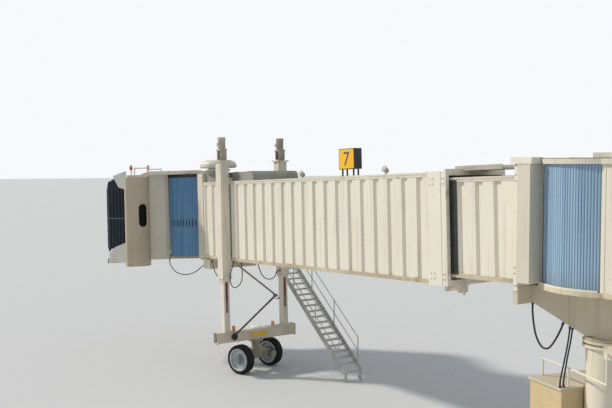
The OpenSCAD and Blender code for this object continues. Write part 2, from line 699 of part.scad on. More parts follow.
// Loops of cable that hang under the outer tunnel beside the lift column.
module tunnel_cables() color("black") on_tunnel() {
    tube_face = outer_tube / 2 + seat;
    frame_face = b_end - 450 - 330 - seat;
    deck_low = b_deck - 30 - seat;
    cable([[14170, 1085, b_low - seat], [14170, 1085, -260], [14170, 1190, -500], [14170, 1240, -800],
        [14170, 1150, -1080], [14170, 980, -1130], [14170, 760, -950], [14170, 700, -600],
        [14170, 740, -140], [14170, 740, deck_low]], 18);
    cable([[14170, 0, deck_low], [14170, 0, -120], [14170, -60, -450], [14170, -220, -780], [14170, -480, -930],
        [14200, -760, -880], [14290, -960, -680], [14300, tube_face - lift_y + 75, -630],
        [14300, tube_face - lift_y, -630]], 18);
    cable([[frame_face, 1000, -250], [frame_face - 70, 1000, -250], [15850, 1060, -420], [15400, 1200, -640],
        [14980, 1330, -730], [14760, 1385, -680], [lift_u + tube_face + 70, 1395, -670],
        [lift_u + tube_face, 1395, -670]], 18);
    cable([[18300, 1790, cab_low - 4], [18290, 1770, -450], [18100, 1600, -760], [17700, 1360, -860],
        [17200, 1160, -720], [16850, 1030, -480], [16680, 1000, -400], [16600 + seat, 1000, -400]], 18);
}

module lift_legs() color("ivory") both_sides() difference() {
    on_tunnel() translate([lift_u, lift_y, 0])
        square_tube(inner_tube, inner_tube - 40, foot_w - 300, 1200);
    translate([foot_x - 600, 0, 0]) cube([1200, 3000, cross_top]);
}

module crossbeam() color("ivory") {
    low = cross_top - cross_h;
    difference() {
        union() {
            block([foot_x - cross_w / 2, -cross_half, low], [foot_x + cross_w / 2, cross_half, cross_top]);
            both_sides() block([foot_x - cross_w / 2 - 35, cross_half - 60, low - 35],
                [foot_x + cross_w / 2 + 35, cross_half - 35, cross_top + 15]);
            translate([foot_x, 0, low - 15]) cylinder(h = cross_h + 60, r = 200);
        }
        block([foot_x - cross_w / 2 + 20, -cross_half - 1, low + 20],
            [foot_x + cross_w / 2 - 20, cross_half + 1, cross_top - 20]);
    }
    translate([foot_x, 0, low - 15]) cylinder(h = cross_h + 20, r = 150);
    on_tunnel() translate([arm_u + arm_gap / 2, arm_hub.x, arm_hub.y]) rotate([0, 90, 0])
        cylinder(h = lift_u - cross_w / 2 - arm_u - arm_gap / 2 + 10, r = arm_pin_r, $fn = 48);
    for (y = [1020, -750]) beam_beacon(y);
}

// Amber warning light that stands on the crossbeam.
module beam_beacon(y) translate([foot_x - 60, y, cross_top - fuse]) {
    cylinder(h = 65, r = 50, $fn = 48);
    translate([0, 0, 60]) cylinder(h = 130, r = 62, $fn = 48);
    translate([0, 0, 185]) cylinder(h = 20, r = 50, $fn = 48);
}

module bogie_frame() color("ivory") on_bogie() {
    plate_top = cross_top - cross_h - 15 - seat;
    inner_y = track_half - tyre_w / 2 - 30;
    translate([0, 0, plate_top - 60]) cylinder(h = 60, r = 290);
    translate([0, 0, 700]) cylinder(h = plate_top - 700 - 55, r = 170);
    block([-200, -330, 650], [200, 330, 860]);
    translate([0, inner_y, tyre_r]) rotate([90, 0, 0]) cylinder(h = 2 * inner_y, r = 130);
    for (side = [0, 1]) rotate([0, 0, 180 * side]) {
        block([-150, 260, 430], [150, 330, 870]);
        translate([0, inner_y - 60, tyre_r]) rotate([-90, 0, 0]) cylinder(h = 60, r = 230);
        translate([0, inner_y - fuse, tyre_r]) rotate([-90, 0, 0])
            cylinder(h = track_half + 60 - inner_y, r = 60, $fn = 64);
        translate([90, 470, tyre_r + 40]) rotate([0, 90, 0]) cylinder(h = 420, r = 120);
        translate([500, 470, tyre_r + 40]) rotate([0, 90, 0]) cylinder(h = 60, r = 135);
        block([60, 340, tyre_r - 80], [300, 600, tyre_r + 170]);
    }
}

// Solid rubber tyre about the local Y axis, with rounded shoulders.
module tyre_at(y) color("black") on_bogie() translate([0, y, tyre_r]) rotate([90, 0, 0]) {
    w = tyre_w / 2;
    rotate_extrude($fn = 128)
        polygon([[rim_r, -w + 20], [rim_r + 30, -w], [tyre_r - 45, -w], [tyre_r - 12, -w + 22], [tyre_r, -w + 60],
            [tyre_r, w - 60], [tyre_r - 12, w - 22], [tyre_r - 45, w], [rim_r + 30, w], [rim_r, w - 20]]);
}

// Dished steel wheel: rim, disc, hub and nut circle. face is the side that shows.
module wheel_at(y, face) color("lightsteelblue") on_bogie() translate([0, y, tyre_r]) rotate([-90 * face, 0, 0]) {
    w = tyre_w / 2;
    difference() {
        union() {
            rotate_extrude($fn = 128)
                polygon([[60.2, -60], [180, -60], [180, -10], [rim_r - 60, -10], [rim_r - 40, -w], [rim_r - 0.3, -w],
                    [rim_r - 0.3, w], [rim_r - 30, w], [rim_r - 60, 60], [210, 60], [150, w - 20], [60.2, w - 20]]);
            translate([0, 0, w - 25]) cylinder(h = 45, r = 90, $fn = 48);
            for (i = [0 : 7]) rotate([0, 0, 45 * i]) translate([185, 0, 90]) cylinder(h = 50, r = 20, $fn = 6);
        }
        translate([0, 0, -w - 1]) cylinder(h = 61 + w + 20, r = 60.2, $fn = 64);
    }
}

module near_tyre() tyre_at(track_half);
module near_wheel() wheel_at(track_half, 1);
module far_tyre() tyre_at(-track_half);
module far_wheel() wheel_at(-track_half, -1);

cab_reach = cab_front + canopy_reach;
nose_x = cab_reach - 180;
module cab_floor() color("ivory") on_cab() {
    near = booth_in - seat;
    far = 60 + seat - cab_half;
    difference() {
        union() {
            translate([0, 0, cab_low]) linear_extrude(ring_deck - cab_low)
                polygon([[1100, seat - box_in], [2130 + seat, seat - box_in], [2130 + seat, far], [nose_x, far],
                    [nose_x, near], [2130 + seat, near], [2130 + seat, box_in - seat], [1100, box_in - seat]]);
            block([cab_front, far, -320], [nose_x, near, cab_low + fuse]);
        }
        translate([0, 0, ring_deck - 90 - run_gap]) cylinder(h = 200, r = cab_drum_r + run_gap, $fn = 128);
    }
    difference() {
        union() {
            translate([0, 0, cab_low - 60]) cylinder(h = 130, r = cab_hub_r);
            block([0, -380, cab_low - 60], [1600, 380, cab_low + 70]);
        }
        translate([0, 0, cab_low - 61]) cylinder(h = 140, r = 250 + seat);
    }
}

module cab_roof() color("ivory") on_cab() {
    low = roof_low;
    difference() {
        union() {
            block([-50, -cab_half - 240, low], [2150, cab_half + 240, low + 150]);
            translate([0, 0, low]) cylinder(h = 150, r = 380);
        }
        translate([0, 0, low - 1]) cylinder(h = 152, r = 100 + seat, $fn = 96);
    }
    block([2150 - fuse, -cab_half, low], [cab_front, cab_half, low + 20]);
    block([2150, -cab_half, low - 90], [cab_front, cab_half, low + fuse]);
    for (y = [-1000, 1000])
        rail_run([[2250, y, low + 15], [2250, y, low + 315], [2850, y, low + 315], [2850, y, low + 15]]);
    for (at = [[2350, 700], [2950, 1150]]) cab_beacon(at);
}

// Red obstruction light on its stalk.
module cab_beacon(at) translate([at.x, at.y, roof_low + 15]) {
    cylinder(h = 200, r = 24, $fn = 24);
    translate([0, 0, 195]) cylinder(h = 60, r = 50, $fn = 32);
    translate([0, 0, 250]) cylinder(h = 170, r = 60, $fn = 32);
}

housing_plan = [[1430, box_in], [1360, 1225], [1480, 1330], [1760, cab_half], [2130, cab_half], [2130, box_in]];
module cab_walls() color("gainsboro") on_cab() {
    high = roof_low - seat;
    both_sides() translate([0, 0, cab_low]) linear_extrude(high - cab_low) polygon(housing_plan);
    block([2130 - fuse, -cab_half, cab_low], [cab_front, 60 - cab_half, high - 90]);
}

booth_low = -440;
booth_out = 1960;
booth_wall = 45;
window_z = 1650;
module booth_plan(inset) {
    back = 520 - inset;
    front = 160 - inset;
    x0 = 2140 + inset;
    x1 = cab_front - inset;
    out = booth_out - inset;
    polygon(concat(
        [[x1, booth_in]],
        [for (a = [0 : 15 : 90]) [x1 - front + front * cos(a), out - front + front * sin(a)]],
        [for (a = [90 : 10 : 180]) [x0 + back + back * cos(a), out - back + back * sin(a)]],
        [[x0, booth_in]]
    ));
}

// Rounded booth of the operator on the cab's near side, with its window pane.
module operator_booth() color("tan") on_cab() {
    high = roof_low - 90 - seat;
    difference() {
        translate([0, 0, booth_low]) linear_extrude(high - booth_low) booth_plan(0);
        translate([0, 0, cab_low + 100]) linear_extrude(high - cab_low - 160) booth_plan(booth_wall);
        block([2200, booth_in - 100, cab_low + 220], [cab_front - 60, booth_in + 100, 2300]);
        window_cut();
    }
    intersection() {
        translate([0, 0, window_z - 600]) linear_extrude(1200) difference() {
            booth_plan(14);
            booth_plan(30);
        }
        window_cut();
    }
}
module window_cut() translate([2140 + 152, booth_out - 152, window_z]) rotate([90, 0, -45])
    translate([0, 0, -100]) linear_extrude(200) {
        for (z = [-290, 290]) translate([0, z]) circle(170, $fn = 48);
        square([340, 580], center = true);
    }

// Folding hood that closes against the aircraft: a top and two sides, open below.
module canopy() color("midnightblue") on_cab() {
    x0 = cab_front + seat;
    difference() {
        translate([0, cab_half + 60, 0]) rotate([90, 0, 0]) linear_extrude(2 * (cab_half + 60))
            polygon([[x0, 260], [x0, 3190], [x0 + 560, 3230], [cab_reach - 60, 3090], [cab_reach, 2600],
                [cab_reach, 400], [cab_reach - 60, 120], [cab_reach - 170, 110], [nose_x + seat, 260]]);
        translate([cab_front - 10, 90 - cab_half, -200]) cube([canopy_reach + 100, 2 * cab_half - 180, 3180]);
    }
}

// Plates that cover the hood's pivots, and the bumper below it.
module canopy_cheeks() color("white") on_cab() {
    y = cab_half + 60 + seat;
    x0 = cab_front + 5;
    both_sides() translate([0, y + 25, 0]) rotate([90, 0, 0]) linear_extrude(25) {
        polygon([[x0, 2700], [x0, 3480], [x0 + 70, 3480], [x0 + 570, 3300], [x0 + 350, 2830]]);
        polygon([[x0, -320], [x0, 560], [x0 + 550, 340], [nose_x + 90, 80], [nose_x + 90, -320]]);
    }
    block([nose_x + seat, 60 - cab_half, -310], [nose_x + 90, cab_half - 60, -150]);
    both_sides() block([nose_x + seat, cab_half - 65, -310], [nose_x + 90, y + fuse, -200]);
    both_sides() block([nose_x - 20, y + 25 - fuse, -310], [nose_x + 90, y + 110, -130]);
}

// Places children at the stair's top hinge, in the ground's own directions.
module on_stair() translate([stair_pivot.x, -stair_mid, stair_pivot.y]) children();

function stair_line(s) = -[60, 60] - s * [going, riser] / norm([going, riser]);

module stair_flight() color("silver") on_stair() {
    length = step_count * norm([going, riser]);
    foot = stair_line(length);
    difference() {
        union() {
            for (y = [-stair_w / 2, stair_w / 2 - 40]) flat_bar(stair_line(0), foot, 200, y, y + 40);
            for (i = [1 : step_count - 1])
                block([-going * i - 190, 30 - stair_w / 2, -riser * i - 25],
                    [-going * i + 60, stair_w / 2 - 30, -riser * i + 5]);
            block([-110, -stair_w / 2, -110], [-60, stair_w / 2, -50]);
            block([foot.x - 60, -stair_w / 2, foot.y - 60], [foot.x, stair_w / 2, foot.y]);
            block([-90, -30, -60], [0, 30, 0]);
            translate([0, 30, 0]) rotate([90, 0, 0]) cylinder(h = 60, r = 25, $fn = 48);
            stair_rails(length);
        }
        translate([0, 70, 0]) rotate([90, 0, 0]) cylinder(h = 140, r = 20 + 0.2, $fn = 32);
    }
    for (y = [90 - stair_w / 2, stair_w / 2 - 90]) caster(foot, y);
}

// Two-bar handrails on stanchions, outside both stringers.
module stair_rails(length) {
    tube = 20;
    for (side = [-1, 1]) {
        y = side * (stair_w / 2 + tube - 4);
        spots = [for (k = [0 : 3]) stair_line(220 + k * (length - 520) / 3)];
        for (p = spots) round_bar([p.x, y, p.y - 60], [p.x, y, p.y + 1000], tube);
        for (h = [480, 980])
            round_bar([spots[0].x, y, spots[0].y + h], [spots[3].x, y, spots[3].y + h], tube - 3);
    }
}

// One foot caster: the fork drops from the stair's end bar to a small wheel on the ground.
module caster(foot, y) {
    r = 90;
    ground = -stair_pivot.y;
    translate([foot.x - 30, y, 0]) {
        for (s = [-45, 30]) block([-25, s, ground + r - 25], [25, s + 15, foot.y - 55]);
        block([-25, -45, foot.y - 90], [25, 45, foot.y - 50]);
        translate([0, 28, ground + r]) rotate([90, 0, 0]) cylinder(h = 56, r = r, $fn = 48);
        translate([0, 50, ground + r]) rotate([90, 0, 0]) cylinder(h = 100, r = 12, $fn = 24);
    }
}

// One arm of the cable guide, a flat link square to the tunnel, its eye at p bored for the pin.
module arm(p, q, u, wide) {
    d = q - p;
    difference() {
        on_tunnel() translate([u, 0, 0]) rotate([90, 0, 90]) linear_extrude(arm_t) {
            translate(p) rotate(atan2(d.y, d.x)) translate([0, -wide / 2]) square([norm(d), wide]);
            translate(q) circle(wide, $fn = 48);
        }
        on_tunnel() translate([u - 1, p.x, p.y]) rotate([0, 90, 0]) cylinder(h = arm_t + 2, r = wide, $fn = 48);
    }
    difference() {
        on_tunnel() translate([u, p.x, p.y]) rotate([0, 90, 0]) cylinder(h = arm_t, r = wide + 2, $fn = 48);
        on_tunnel() translate([u - 1, p.x, p.y]) rotate([0, 90, 0])
            cylinder(h = arm_t + 2, r = arm_pin_r + 0.2, $fn = 48);
    }
}

module upper_arm() color("silver") arm(arm_top, arm_elbow, arm_u - arm_gap / 2 - arm_t, 62);

module lower_arm() color("dimgray") {
    u = arm_u + arm_gap / 2;
    arm(arm_hub, arm_elbow, u, 60);
}

// XZ position of a point given in the tunnels' frame.
function tunnel_point(p) = [
    hinge_x + p.x * cos(slope) + p.y * sin(slope),
    hinge_z - p.x * sin(slope) + p.y * cos(slope)
];

column();
service_block();
rotunda_floor();
rotunda_roof();
terminal_walls();
rotunda_curtains();
girder();
portal_frame();
curtain_housings();
girder_cable();
column_cables();
tunnel_a_floor();
tunnel_a_roof();
tunnel_a_walls();
tunnel_b_floor();
tunnel_b_roof();
tunnel_b_walls();
tunnel_b_collar();
tunnel_b_end_frame();
lift_tubes();
lift_drives();
roof_housing();
roof_ventilator();
roof_fittings();
sign_box();
ring_floor();
ring_roof();
cab_curtains();
stair_landing();
tunnel_cables();
lift_legs();
crossbeam();
bogie_frame();
near_tyre();
near_wheel();
far_tyre();
far_wheel();
cab_floor();
cab_roof();
cab_walls();
operator_booth();
canopy();
canopy_cheeks();
stair_flight();
upper_arm();
lower_arm();
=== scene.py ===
import math

import bmesh
import bpy
import numpy as np
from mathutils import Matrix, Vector


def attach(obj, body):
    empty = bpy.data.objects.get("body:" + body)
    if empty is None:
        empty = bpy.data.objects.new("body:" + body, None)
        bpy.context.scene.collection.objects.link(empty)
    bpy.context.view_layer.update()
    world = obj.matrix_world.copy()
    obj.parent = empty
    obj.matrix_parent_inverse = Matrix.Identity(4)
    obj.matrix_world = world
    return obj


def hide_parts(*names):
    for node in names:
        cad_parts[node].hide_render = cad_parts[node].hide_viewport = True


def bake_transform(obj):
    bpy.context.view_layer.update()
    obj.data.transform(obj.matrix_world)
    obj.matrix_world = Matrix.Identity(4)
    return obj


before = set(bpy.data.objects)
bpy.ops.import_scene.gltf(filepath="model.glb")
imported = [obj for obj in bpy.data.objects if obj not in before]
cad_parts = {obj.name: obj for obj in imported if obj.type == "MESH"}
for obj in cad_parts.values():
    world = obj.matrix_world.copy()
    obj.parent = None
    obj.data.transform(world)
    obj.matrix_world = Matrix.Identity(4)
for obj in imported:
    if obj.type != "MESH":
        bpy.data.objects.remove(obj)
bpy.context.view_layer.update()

# Places that the scene shares with the CAD, in metres and radians. The tunnels slope down from
# their hinge: u runs along them, v across and w up. The cab is turned about its axis at CAB_U.
SLOPE = math.radians(2.3)
HINGE = np.array([1.62, 0.0, 5.04])
CAB_U, CAB_TURN = 18.25, math.radians(50)
MOUTH_U, SHADOW_BAND_U = 2.484, 2.478
SIGN_U, SIGN_W = 6.99, 3.47
LIFT_U, LIFT_V = 14.44, 1.32
BEAM_X, STEER = 15.93508, math.radians(19)
AXLE_Z, WHEEL_Y = 0.56, 0.875
CURTAIN_R, CAB_CURTAIN_R = 1.52, 1.78
SLAT_PITCH, SLAT_THICK, SLAT_DEPTH = 0.07, 0.02, 0.016
BOTH = (1, -1)
SIDES = (("near", 1), ("far", -1))
UP = (0, 0, 1)

scene = bpy.context.scene
scene.view_settings.view_transform = "Standard"


def add_object(name, data):
    made = bpy.data.objects.new(name, data)
    scene.collection.objects.link(made)
    return made


# The camera stands on the terminal's side, a little above the tunnels, and looks out along the
# bridge. A sun on the left and an even pale sky light it over a plain floor.
SENSOR, PICTURE_WIDTH, FOCAL_PIXELS = 36, 612, 836
lens = bpy.data.cameras.new("camera")
lens.lens = FOCAL_PIXELS * SENSOR / PICTURE_WIDTH
lens.sensor_width = SENSOR
lens.clip_end = 900
camera = add_object("camera", lens)
azimuth, dip = math.radians(34.5), math.radians(2.81)
looking = Vector((math.cos(azimuth) * math.cos(dip), -math.sin(azimuth) * math.cos(dip), -math.sin(dip)))
camera.location = (-12.0, 16.8, 8.1)
camera.rotation_euler = looking.to_track_quat("-Z", "Y").to_euler()
scene.camera = camera

sun_data = bpy.data.lights.new("sun", "SUN")
sun_data.energy = 2.7
sun_data.angle = math.radians(5)
sun_data.color = (1.0, 0.955, 0.87)
sun = add_object("sun", sun_data)
sun.rotation_euler = Vector((-0.58, -0.52, -0.60)).to_track_quat("-Z", "Y").to_euler()

# The camera and reflections see the pale sky, and everything else is lit by the dimmer blue one.
sky = bpy.data.worlds.new("sky")
sky.use_nodes = True
scene.world = sky
sky_nodes, sky_links = sky.node_tree.nodes, sky.node_tree.links
fill = sky_nodes["Background"]
fill.inputs["Color"].default_value = (0.86, 0.93, 1.0, 1)
fill.inputs["Strength"].default_value = 0.5
pale = sky_nodes.new("ShaderNodeBackground")
pale.inputs["Color"].default_value = (0.93, 0.95, 0.97, 1)
path = sky_nodes.new("ShaderNodeLightPath")
seen = sky_nodes.new("ShaderNodeMath")
seen.operation = "MAXIMUM"
sky_links.new(path.outputs["Is Camera Ray"], seen.inputs[0])
sky_links.new(path.outputs["Is Glossy Ray"], seen.inputs[1])
blended = sky_nodes.new("ShaderNodeMixShader")
sky_links.new(seen.outputs[0], blended.inputs[0])
sky_links.new(fill.outputs[0], blended.inputs[1])
sky_links.new(pale.outputs[0], blended.inputs[2])
sky_links.new(blended.outputs[0], sky_nodes["World Output"].inputs["Surface"])


class Field:
    """One socket of a finish. Sums, differences, products and powers of it add Math nodes."""

    def __init__(self, finish, socket):
        self.finish, self.socket = finish, socket

    def math(self, operation, *terms, clamp=False):
        settings = {"operation": operation, "use_clamp": clamp}
        return self.finish.node("ShaderNodeMath", settings, dict(enumerate(terms)))

    def __add__(self, other):
        return self.math("ADD", self, other)

    def __sub__(self, other):
        return self.math("SUBTRACT", self, other)

    def __rsub__(self, other):
        return self.math("SUBTRACT", other, self)

    def __mul__(self, other):
        return self.math("MULTIPLY", self, other)

    def __pow__(self, other):
        return self.math("POWER", self, other)

    def __abs__(self):
        return self.math("ABSOLUTE", self)

    __radd__ = __add__

    def clear(self, low, high):
        """0 below low and 1 above high, in a straight line between them; it falls where low is larger."""
        return self.math("MULTIPLY", self - low, 1 / (high - low), clamp=True)


def linear(colour):
    """Linear colour of a six-digit screen code; four numbers are linear already."""
    if isinstance(colour, tuple):
        return colour
    parts = [int(colour[i : i + 2], 16) / 255 for i in (0, 2, 4)]
    return tuple(p / 12.92 if p < 0.04045 else ((p + 0.055) / 1.055) ** 2.4 for p in parts) + (1,)


class Finish:
    """A material: its shader, the place on the object, and one method for every node."""

    def __init__(self, name, colour, **values):
        self.material = bpy.data.materials.new(name)
        self.material.use_nodes = True
        self.tree = self.material.node_tree
        self.shader = self.tree.nodes["Principled BSDF"]
        self.shader.inputs["Base Color"].default_value = linear(colour)
        for key, value in values.items():
            self.shader.inputs[key.replace("_", " ")].default_value = value
        self.here = self.node("ShaderNodeTexCoord", {}, {}, "Object")

    def node(self, kind, settings, values, output=0):
        made = self.tree.nodes.new(kind)
        for key, value in settings.items():
            setattr(made, key, value)
        for key, value in values.items():
            if isinstance(value, Field):
                self.tree.links.new(value.socket, made.inputs[key])
            else:
                made.inputs[key].default_value = linear(value) if isinstance(value, str) else value
        return Field(self, made.outputs[output])

    def noise(self, stretch, detail):
        """Noise over the place, which is stretched by one number or by one for each axis."""
        scale = stretch if isinstance(stretch, tuple) else (stretch,) * 3
        placed = self.node("ShaderNodeMapping", {}, {"Vector": self.here, "Scale": scale})
        return self.node("ShaderNodeTexNoise", {}, {"Vector": placed, "Scale": 1.0, "Detail": detail})

    def mix(self, factor, low, high):
        return self.node("ShaderNodeMix", {"data_type": "RGBA"}, {0: factor, 6: low, 7: high}, 2)

    def place(self, where=None):
        """X, Y and Z of a vector, as three fields."""
        values = {0: where or self.here}
        return [self.node("ShaderNodeSeparateXYZ", {}, values, i) for i in range(3)]

    def place_from(self, location, rotation):
        """X, Y and Z of the place, measured from a frame at location, turned by rotation."""
        values = {"Vector": self.here, "Location": tuple(location), "Rotation": rotation}
        return self.place(self.node("ShaderNodeMapping", {"vector_type": "TEXTURE"}, values))

    def bump(self, height, distance, strength=1.0):
        values = {"Height": height, "Distance": distance, "Strength": strength}
        self.drive(Normal=self.node("ShaderNodeBump", {}, values))

    def drive(self, **links):
        for key, field in links.items():
            self.tree.links.new(field.socket, self.shader.inputs[key.replace("_", " ")])


# The floor is only the stage: a plain pale apron that runs to the horizon and keeps the shadow.
FLOOR_REACH = 420
floor_mesh = bpy.data.meshes.new("floor")
floor_corners = [(x * FLOOR_REACH, y * FLOOR_REACH, 0) for x, y in ((-1, -1), (1, -1), (1, 1), (-1, 1))]
floor_mesh.from_pydata(floor_corners, [], [(0, 1, 2, 3)])
floor = add_object("floor", floor_mesh)
apron = Finish("pale_floor", (0.62, 0.625, 0.63, 1), Roughness=0.9)
floor_mesh.materials.append(apron.material)


def in_place(points):
    return np.asarray(points, float)


def on_tunnel(points):
    """Points (u, v, w) of the sloping tunnels in the room's frame: u and w turned by the slope about +Y."""
    u, v, w = np.moveaxis(np.asarray(points, float), -1, 0)
    c, s = math.cos(SLOPE), math.sin(SLOPE)
    return np.stack([HINGE[0] + u * c + w * s, v, HINGE[2] - u * s + w * c], -1)


def ring_axis(points):
    """Points about the cab's turning axis, in the tunnels' directions."""
    return on_tunnel(np.asarray(points, float) + np.array([CAB_U, 0, 0]))


def on_cab(points):
    """Points of the cab in the room's frame: turned by the cab's angle about its axis, then sloped."""
    x, y, z = np.moveaxis(np.asarray(points, float), -1, 0)
    c, s = math.cos(CAB_TURN), math.sin(CAB_TURN)
    return on_tunnel(np.stack([CAB_U + c * x - s * y, s * x + c * y, z], -1))


def on_bogie(points):
    """Points of the bogie, turned by the steering angle about its upright axis."""
    x, y, z = np.moveaxis(np.asarray(points, float), -1, 0)
    c, s = math.cos(STEER), math.sin(STEER)
    return np.stack([BEAM_X + c * x - s * y, s * x + c * y, z], -1)


def lying(order, where):
    """A frame for round shapes whose axis lies down: it takes their X, Y and Z in the given order."""
    return lambda grid: where(np.asarray(grid, float)[..., list(order)])


def polar(r, a, z, centre=(0, 0)):
    """Points at radius r, angle a and height z about the upright axis through centre."""
    return np.stack(np.broadcast_arrays(centre[0] + r * np.cos(a), centre[1] + r * np.sin(a), z), -1)


def skin(rows, cols, close_rows=False, close_cols=False):
    """Quads between neighbouring points of a grid; a closed direction joins its last line to its first."""
    i, j = np.meshgrid(np.arange(rows - (not close_rows)), np.arange(cols - (not close_cols)), indexing="ij")
    k, m = (i + 1) % rows, (j + 1) % cols
    return np.stack([i * cols + j, i * cols + m, k * cols + m, k * cols + j], -1).reshape(-1, 4)


def tube_faces(rows, cols):
    """Skin of a tube made of rows of points, with its first and last row as flat ends."""
    ends = [list(range(cols)), list(range(rows * cols - 1, (rows - 1) * cols - 1, -1))]
    return skin(rows, cols, close_cols=True).tolist() + ends


def make_piece(name, points, faces, finish, body, slot, smooth=True):
    """A mesh from whole arrays; its normals are made to point outwards, and it rides on its body."""
    mesh = bpy.data.meshes.new(name)
    points = np.asarray(points, float).reshape(-1, 3).tolist()
    mesh.from_pydata(points, [], [list(map(int, f)) for f in faces])
    mesh.validate()
    shell = bmesh.new()
    shell.from_mesh(mesh)
    bmesh.ops.recalc_face_normals(shell, faces=shell.faces)
    shell.to_mesh(mesh)
    shell.free()
    if smooth:
        mesh.shade_smooth()
        mesh.set_sharp_from_angle(angle=math.radians(38))
    mesh.materials.append(finish.material)
    made = add_object(name, mesh)
    if body:
        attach(made, body)
    return made


def gather(parts):
    """Several meshes as one: each one's faces are shifted past the points before it."""
    points, faces, count = [], [], 0
    for own_points, own_faces in parts:
        points.append(np.asarray(own_points, float).reshape(-1, 3))
        faces += [[int(i) + count for i in f] for f in own_faces]
        count += len(points[-1])
    return np.concatenate(points), faces


def sleeve_mesh(spine, radii, sides):
    """Rings of the given radii round a spine of points, square to its direction, closed by end faces."""
    spine = np.asarray(spine, float)
    away = np.gradient(spine, axis=0)
    away /= np.linalg.norm(away, axis=1, keepdims=True)
    side = np.cross(away, np.where(np.abs(away[:, 2:]) > 0.9, [[0, 1, 0]], [[0, 0, 1]]))
    side /= np.linalg.norm(side, axis=1, keepdims=True)
    over = np.cross(away, side)
    a = np.linspace(0, math.tau, sides, endpoint=False)[None, :, None]
    round_it = np.cos(a) * side[:, None] + np.sin(a) * over[:, None]
    rings = spine[:, None] + np.asarray(radii, float)[:, None, None] * round_it
    return rings.reshape(-1, 3), tube_faces(len(spine), sides)


def lathe_mesh(profile, sides, where=in_place, centre=(0, 0)):
    """A closed profile of (radius, height) points turned about the upright axis through centre."""
    r, z = np.asarray(profile, float).T[:, :, None]
    a = np.linspace(0, math.tau, sides, endpoint=False)
    grid = where(polar(r, a, z, centre))
    return grid.reshape(-1, 3), skin(len(r), sides, close_rows=True, close_cols=True)


def arc_mesh(section, start, end, count, where=in_place, centre=(0, 0)):
    """A closed section of (radius, height) points carried along an arc, with flat ends."""
    r, z = np.asarray(section, float).T
    a = np.radians(np.linspace(start, end, count))[:, None]
    return where(polar(r, a, z, centre)).reshape(-1, 3), tube_faces(count, len(r))


def plate_mesh(outline, thick, origin, across, up, where=in_place):
    """A flat outline in the plane of across and up, given a thickness along their cross product."""
    outline = np.asarray(outline, float)
    across, up, origin = (np.asarray(v, float) for v in (across, up, origin))
    out = np.cross(across, up)
    face = origin + outline[:, :1] * across + outline[:, 1:] * up
    n = len(outline)
    faces = skin(2, n, close_cols=True).tolist() + [list(range(n))[::-1], list(range(n, 2 * n))]
    return where(np.concatenate([face, face + thick * out])), faces


def rectangle(x0, y0, x1, y1):
    return [(x0, y0), (x1, y0), (x1, y1), (x0, y1)]


def rounded(width, height, corner):
    """Outline of a rectangle about its centre with circular corners."""
    points = []
    for k, (sx, sy) in enumerate(((1, 1), (-1, 1), (-1, -1), (1, -1))):
        a = np.linspace(0, math.pi / 2, 5) + k * math.pi / 2
        centre = np.array([sx * (width / 2 - corner), sy * (height / 2 - corner)])
        points.append(centre + corner * np.c_[np.cos(a), np.sin(a)])
    return np.concatenate(points)


def soften(piece, width=0.002):
    """Small rounding of a piece's sharp edges."""
    edge = piece.modifiers.new("edge", "BEVEL")
    edge.width = width
    edge.segments = 2
    edge.limit_method = "ANGLE"
    edge.angle_limit = math.radians(40)


def at_angle(radius, degrees, where=in_place):
    angle = math.radians(degrees)
    return where(np.array([radius * math.cos(angle), radius * math.sin(angle), 0.0]))


def route(points, steps):
    """Catmull-Rom curve: each span is the cubic through its ends with slopes from the neighbours."""
    p = np.asarray(points, float)
    p = np.concatenate([p[:1], p, p[-1:]])
    t = (np.arange(steps) / steps)[None, :, None]
    a, b, c, d = (p[i : len(p) - 3 + i, None] for i in range(4))
    curve = 0.5 * (2 * b + (c - a) * t + (2 * a - 5 * b + 4 * c - d) * t**2 + (3 * b - a - 3 * c + d) * t**3)
    return np.concatenate([curve.reshape(-1, 3), p[-1:]])


def spotted(name, colour, tones, stretch, detail, band, share, rough, rise, **values):
    """A finish between two tones. One noise mixes them, over its band and up to the share, and adds
    up to the rise to the roughness."""
    f = Finish(name, colour, **values)
    cloud = f.noise(stretch, detail)
    f.drive(Base_Color=f.mix(cloud.clear(*band) * share, *tones), Roughness=rough + cloud * rise)
    return f


def weathered(name, colour, shade, runs=0.5, rust=(), rough=0.5, grime=0.25):
    """Sprayed paint, chalked by the sun: a cloudy coat, rain runs stretched along Z, and rust near the
    given planes. Each plane has its axis (z of the room, or u or w of the tunnels), its level and
    the width of the bleeding."""
    f = Finish(name, colour, Roughness=rough, Specular_IOR_Level=0.35)
    cloud = f.noise(0.55, 4).clear(0.35, 0.7)
    speck = f.noise(11, 5)
    run = f.noise((6.5, 6.5, 0.35), 5).clear(0.54, 0.78)
    tint = f.mix(cloud * grime, colour, shade)
    tint = f.mix(run * runs, tint, "A3947A")
    tint = f.mix(speck.clear(0.66, 0.72) * 0.35, tint, "8E7C62")
    if rust:
        patch = f.noise((3.2, 3.2, 2.1), 6)
        spread = None
        for axis, level, width in rust:
            place = f.place() if axis == "z" else f.place_from(HINGE, (0, SLOPE, 0))
            near = abs(place[0 if axis == "u" else 2] - level).clear(width, 0)
            spread = near if spread is None else spread.math("MAXIMUM", spread, near)
        mask = (patch + spread * 0.2).clear(0.72, 0.9) * spread.clear(0, 0.2)
        tint = f.mix(mask * 0.5, tint, f.mix(speck, "6E4C33", "A98058"))
    f.drive(Base_Color=tint, Roughness=rough - 0.06 + speck * 0.2)
    f.bump(speck * 0.5 + f.noise((1.6, 1.6, 0.8), 2), 0.004, 0.35)
    return f


def dress(finish, *names):
    for name in names:
        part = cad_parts[name]
        if not part.material_slots:
            part.data.materials.append(finish.material)
        for place in part.material_slots:
            place.material = finish.material


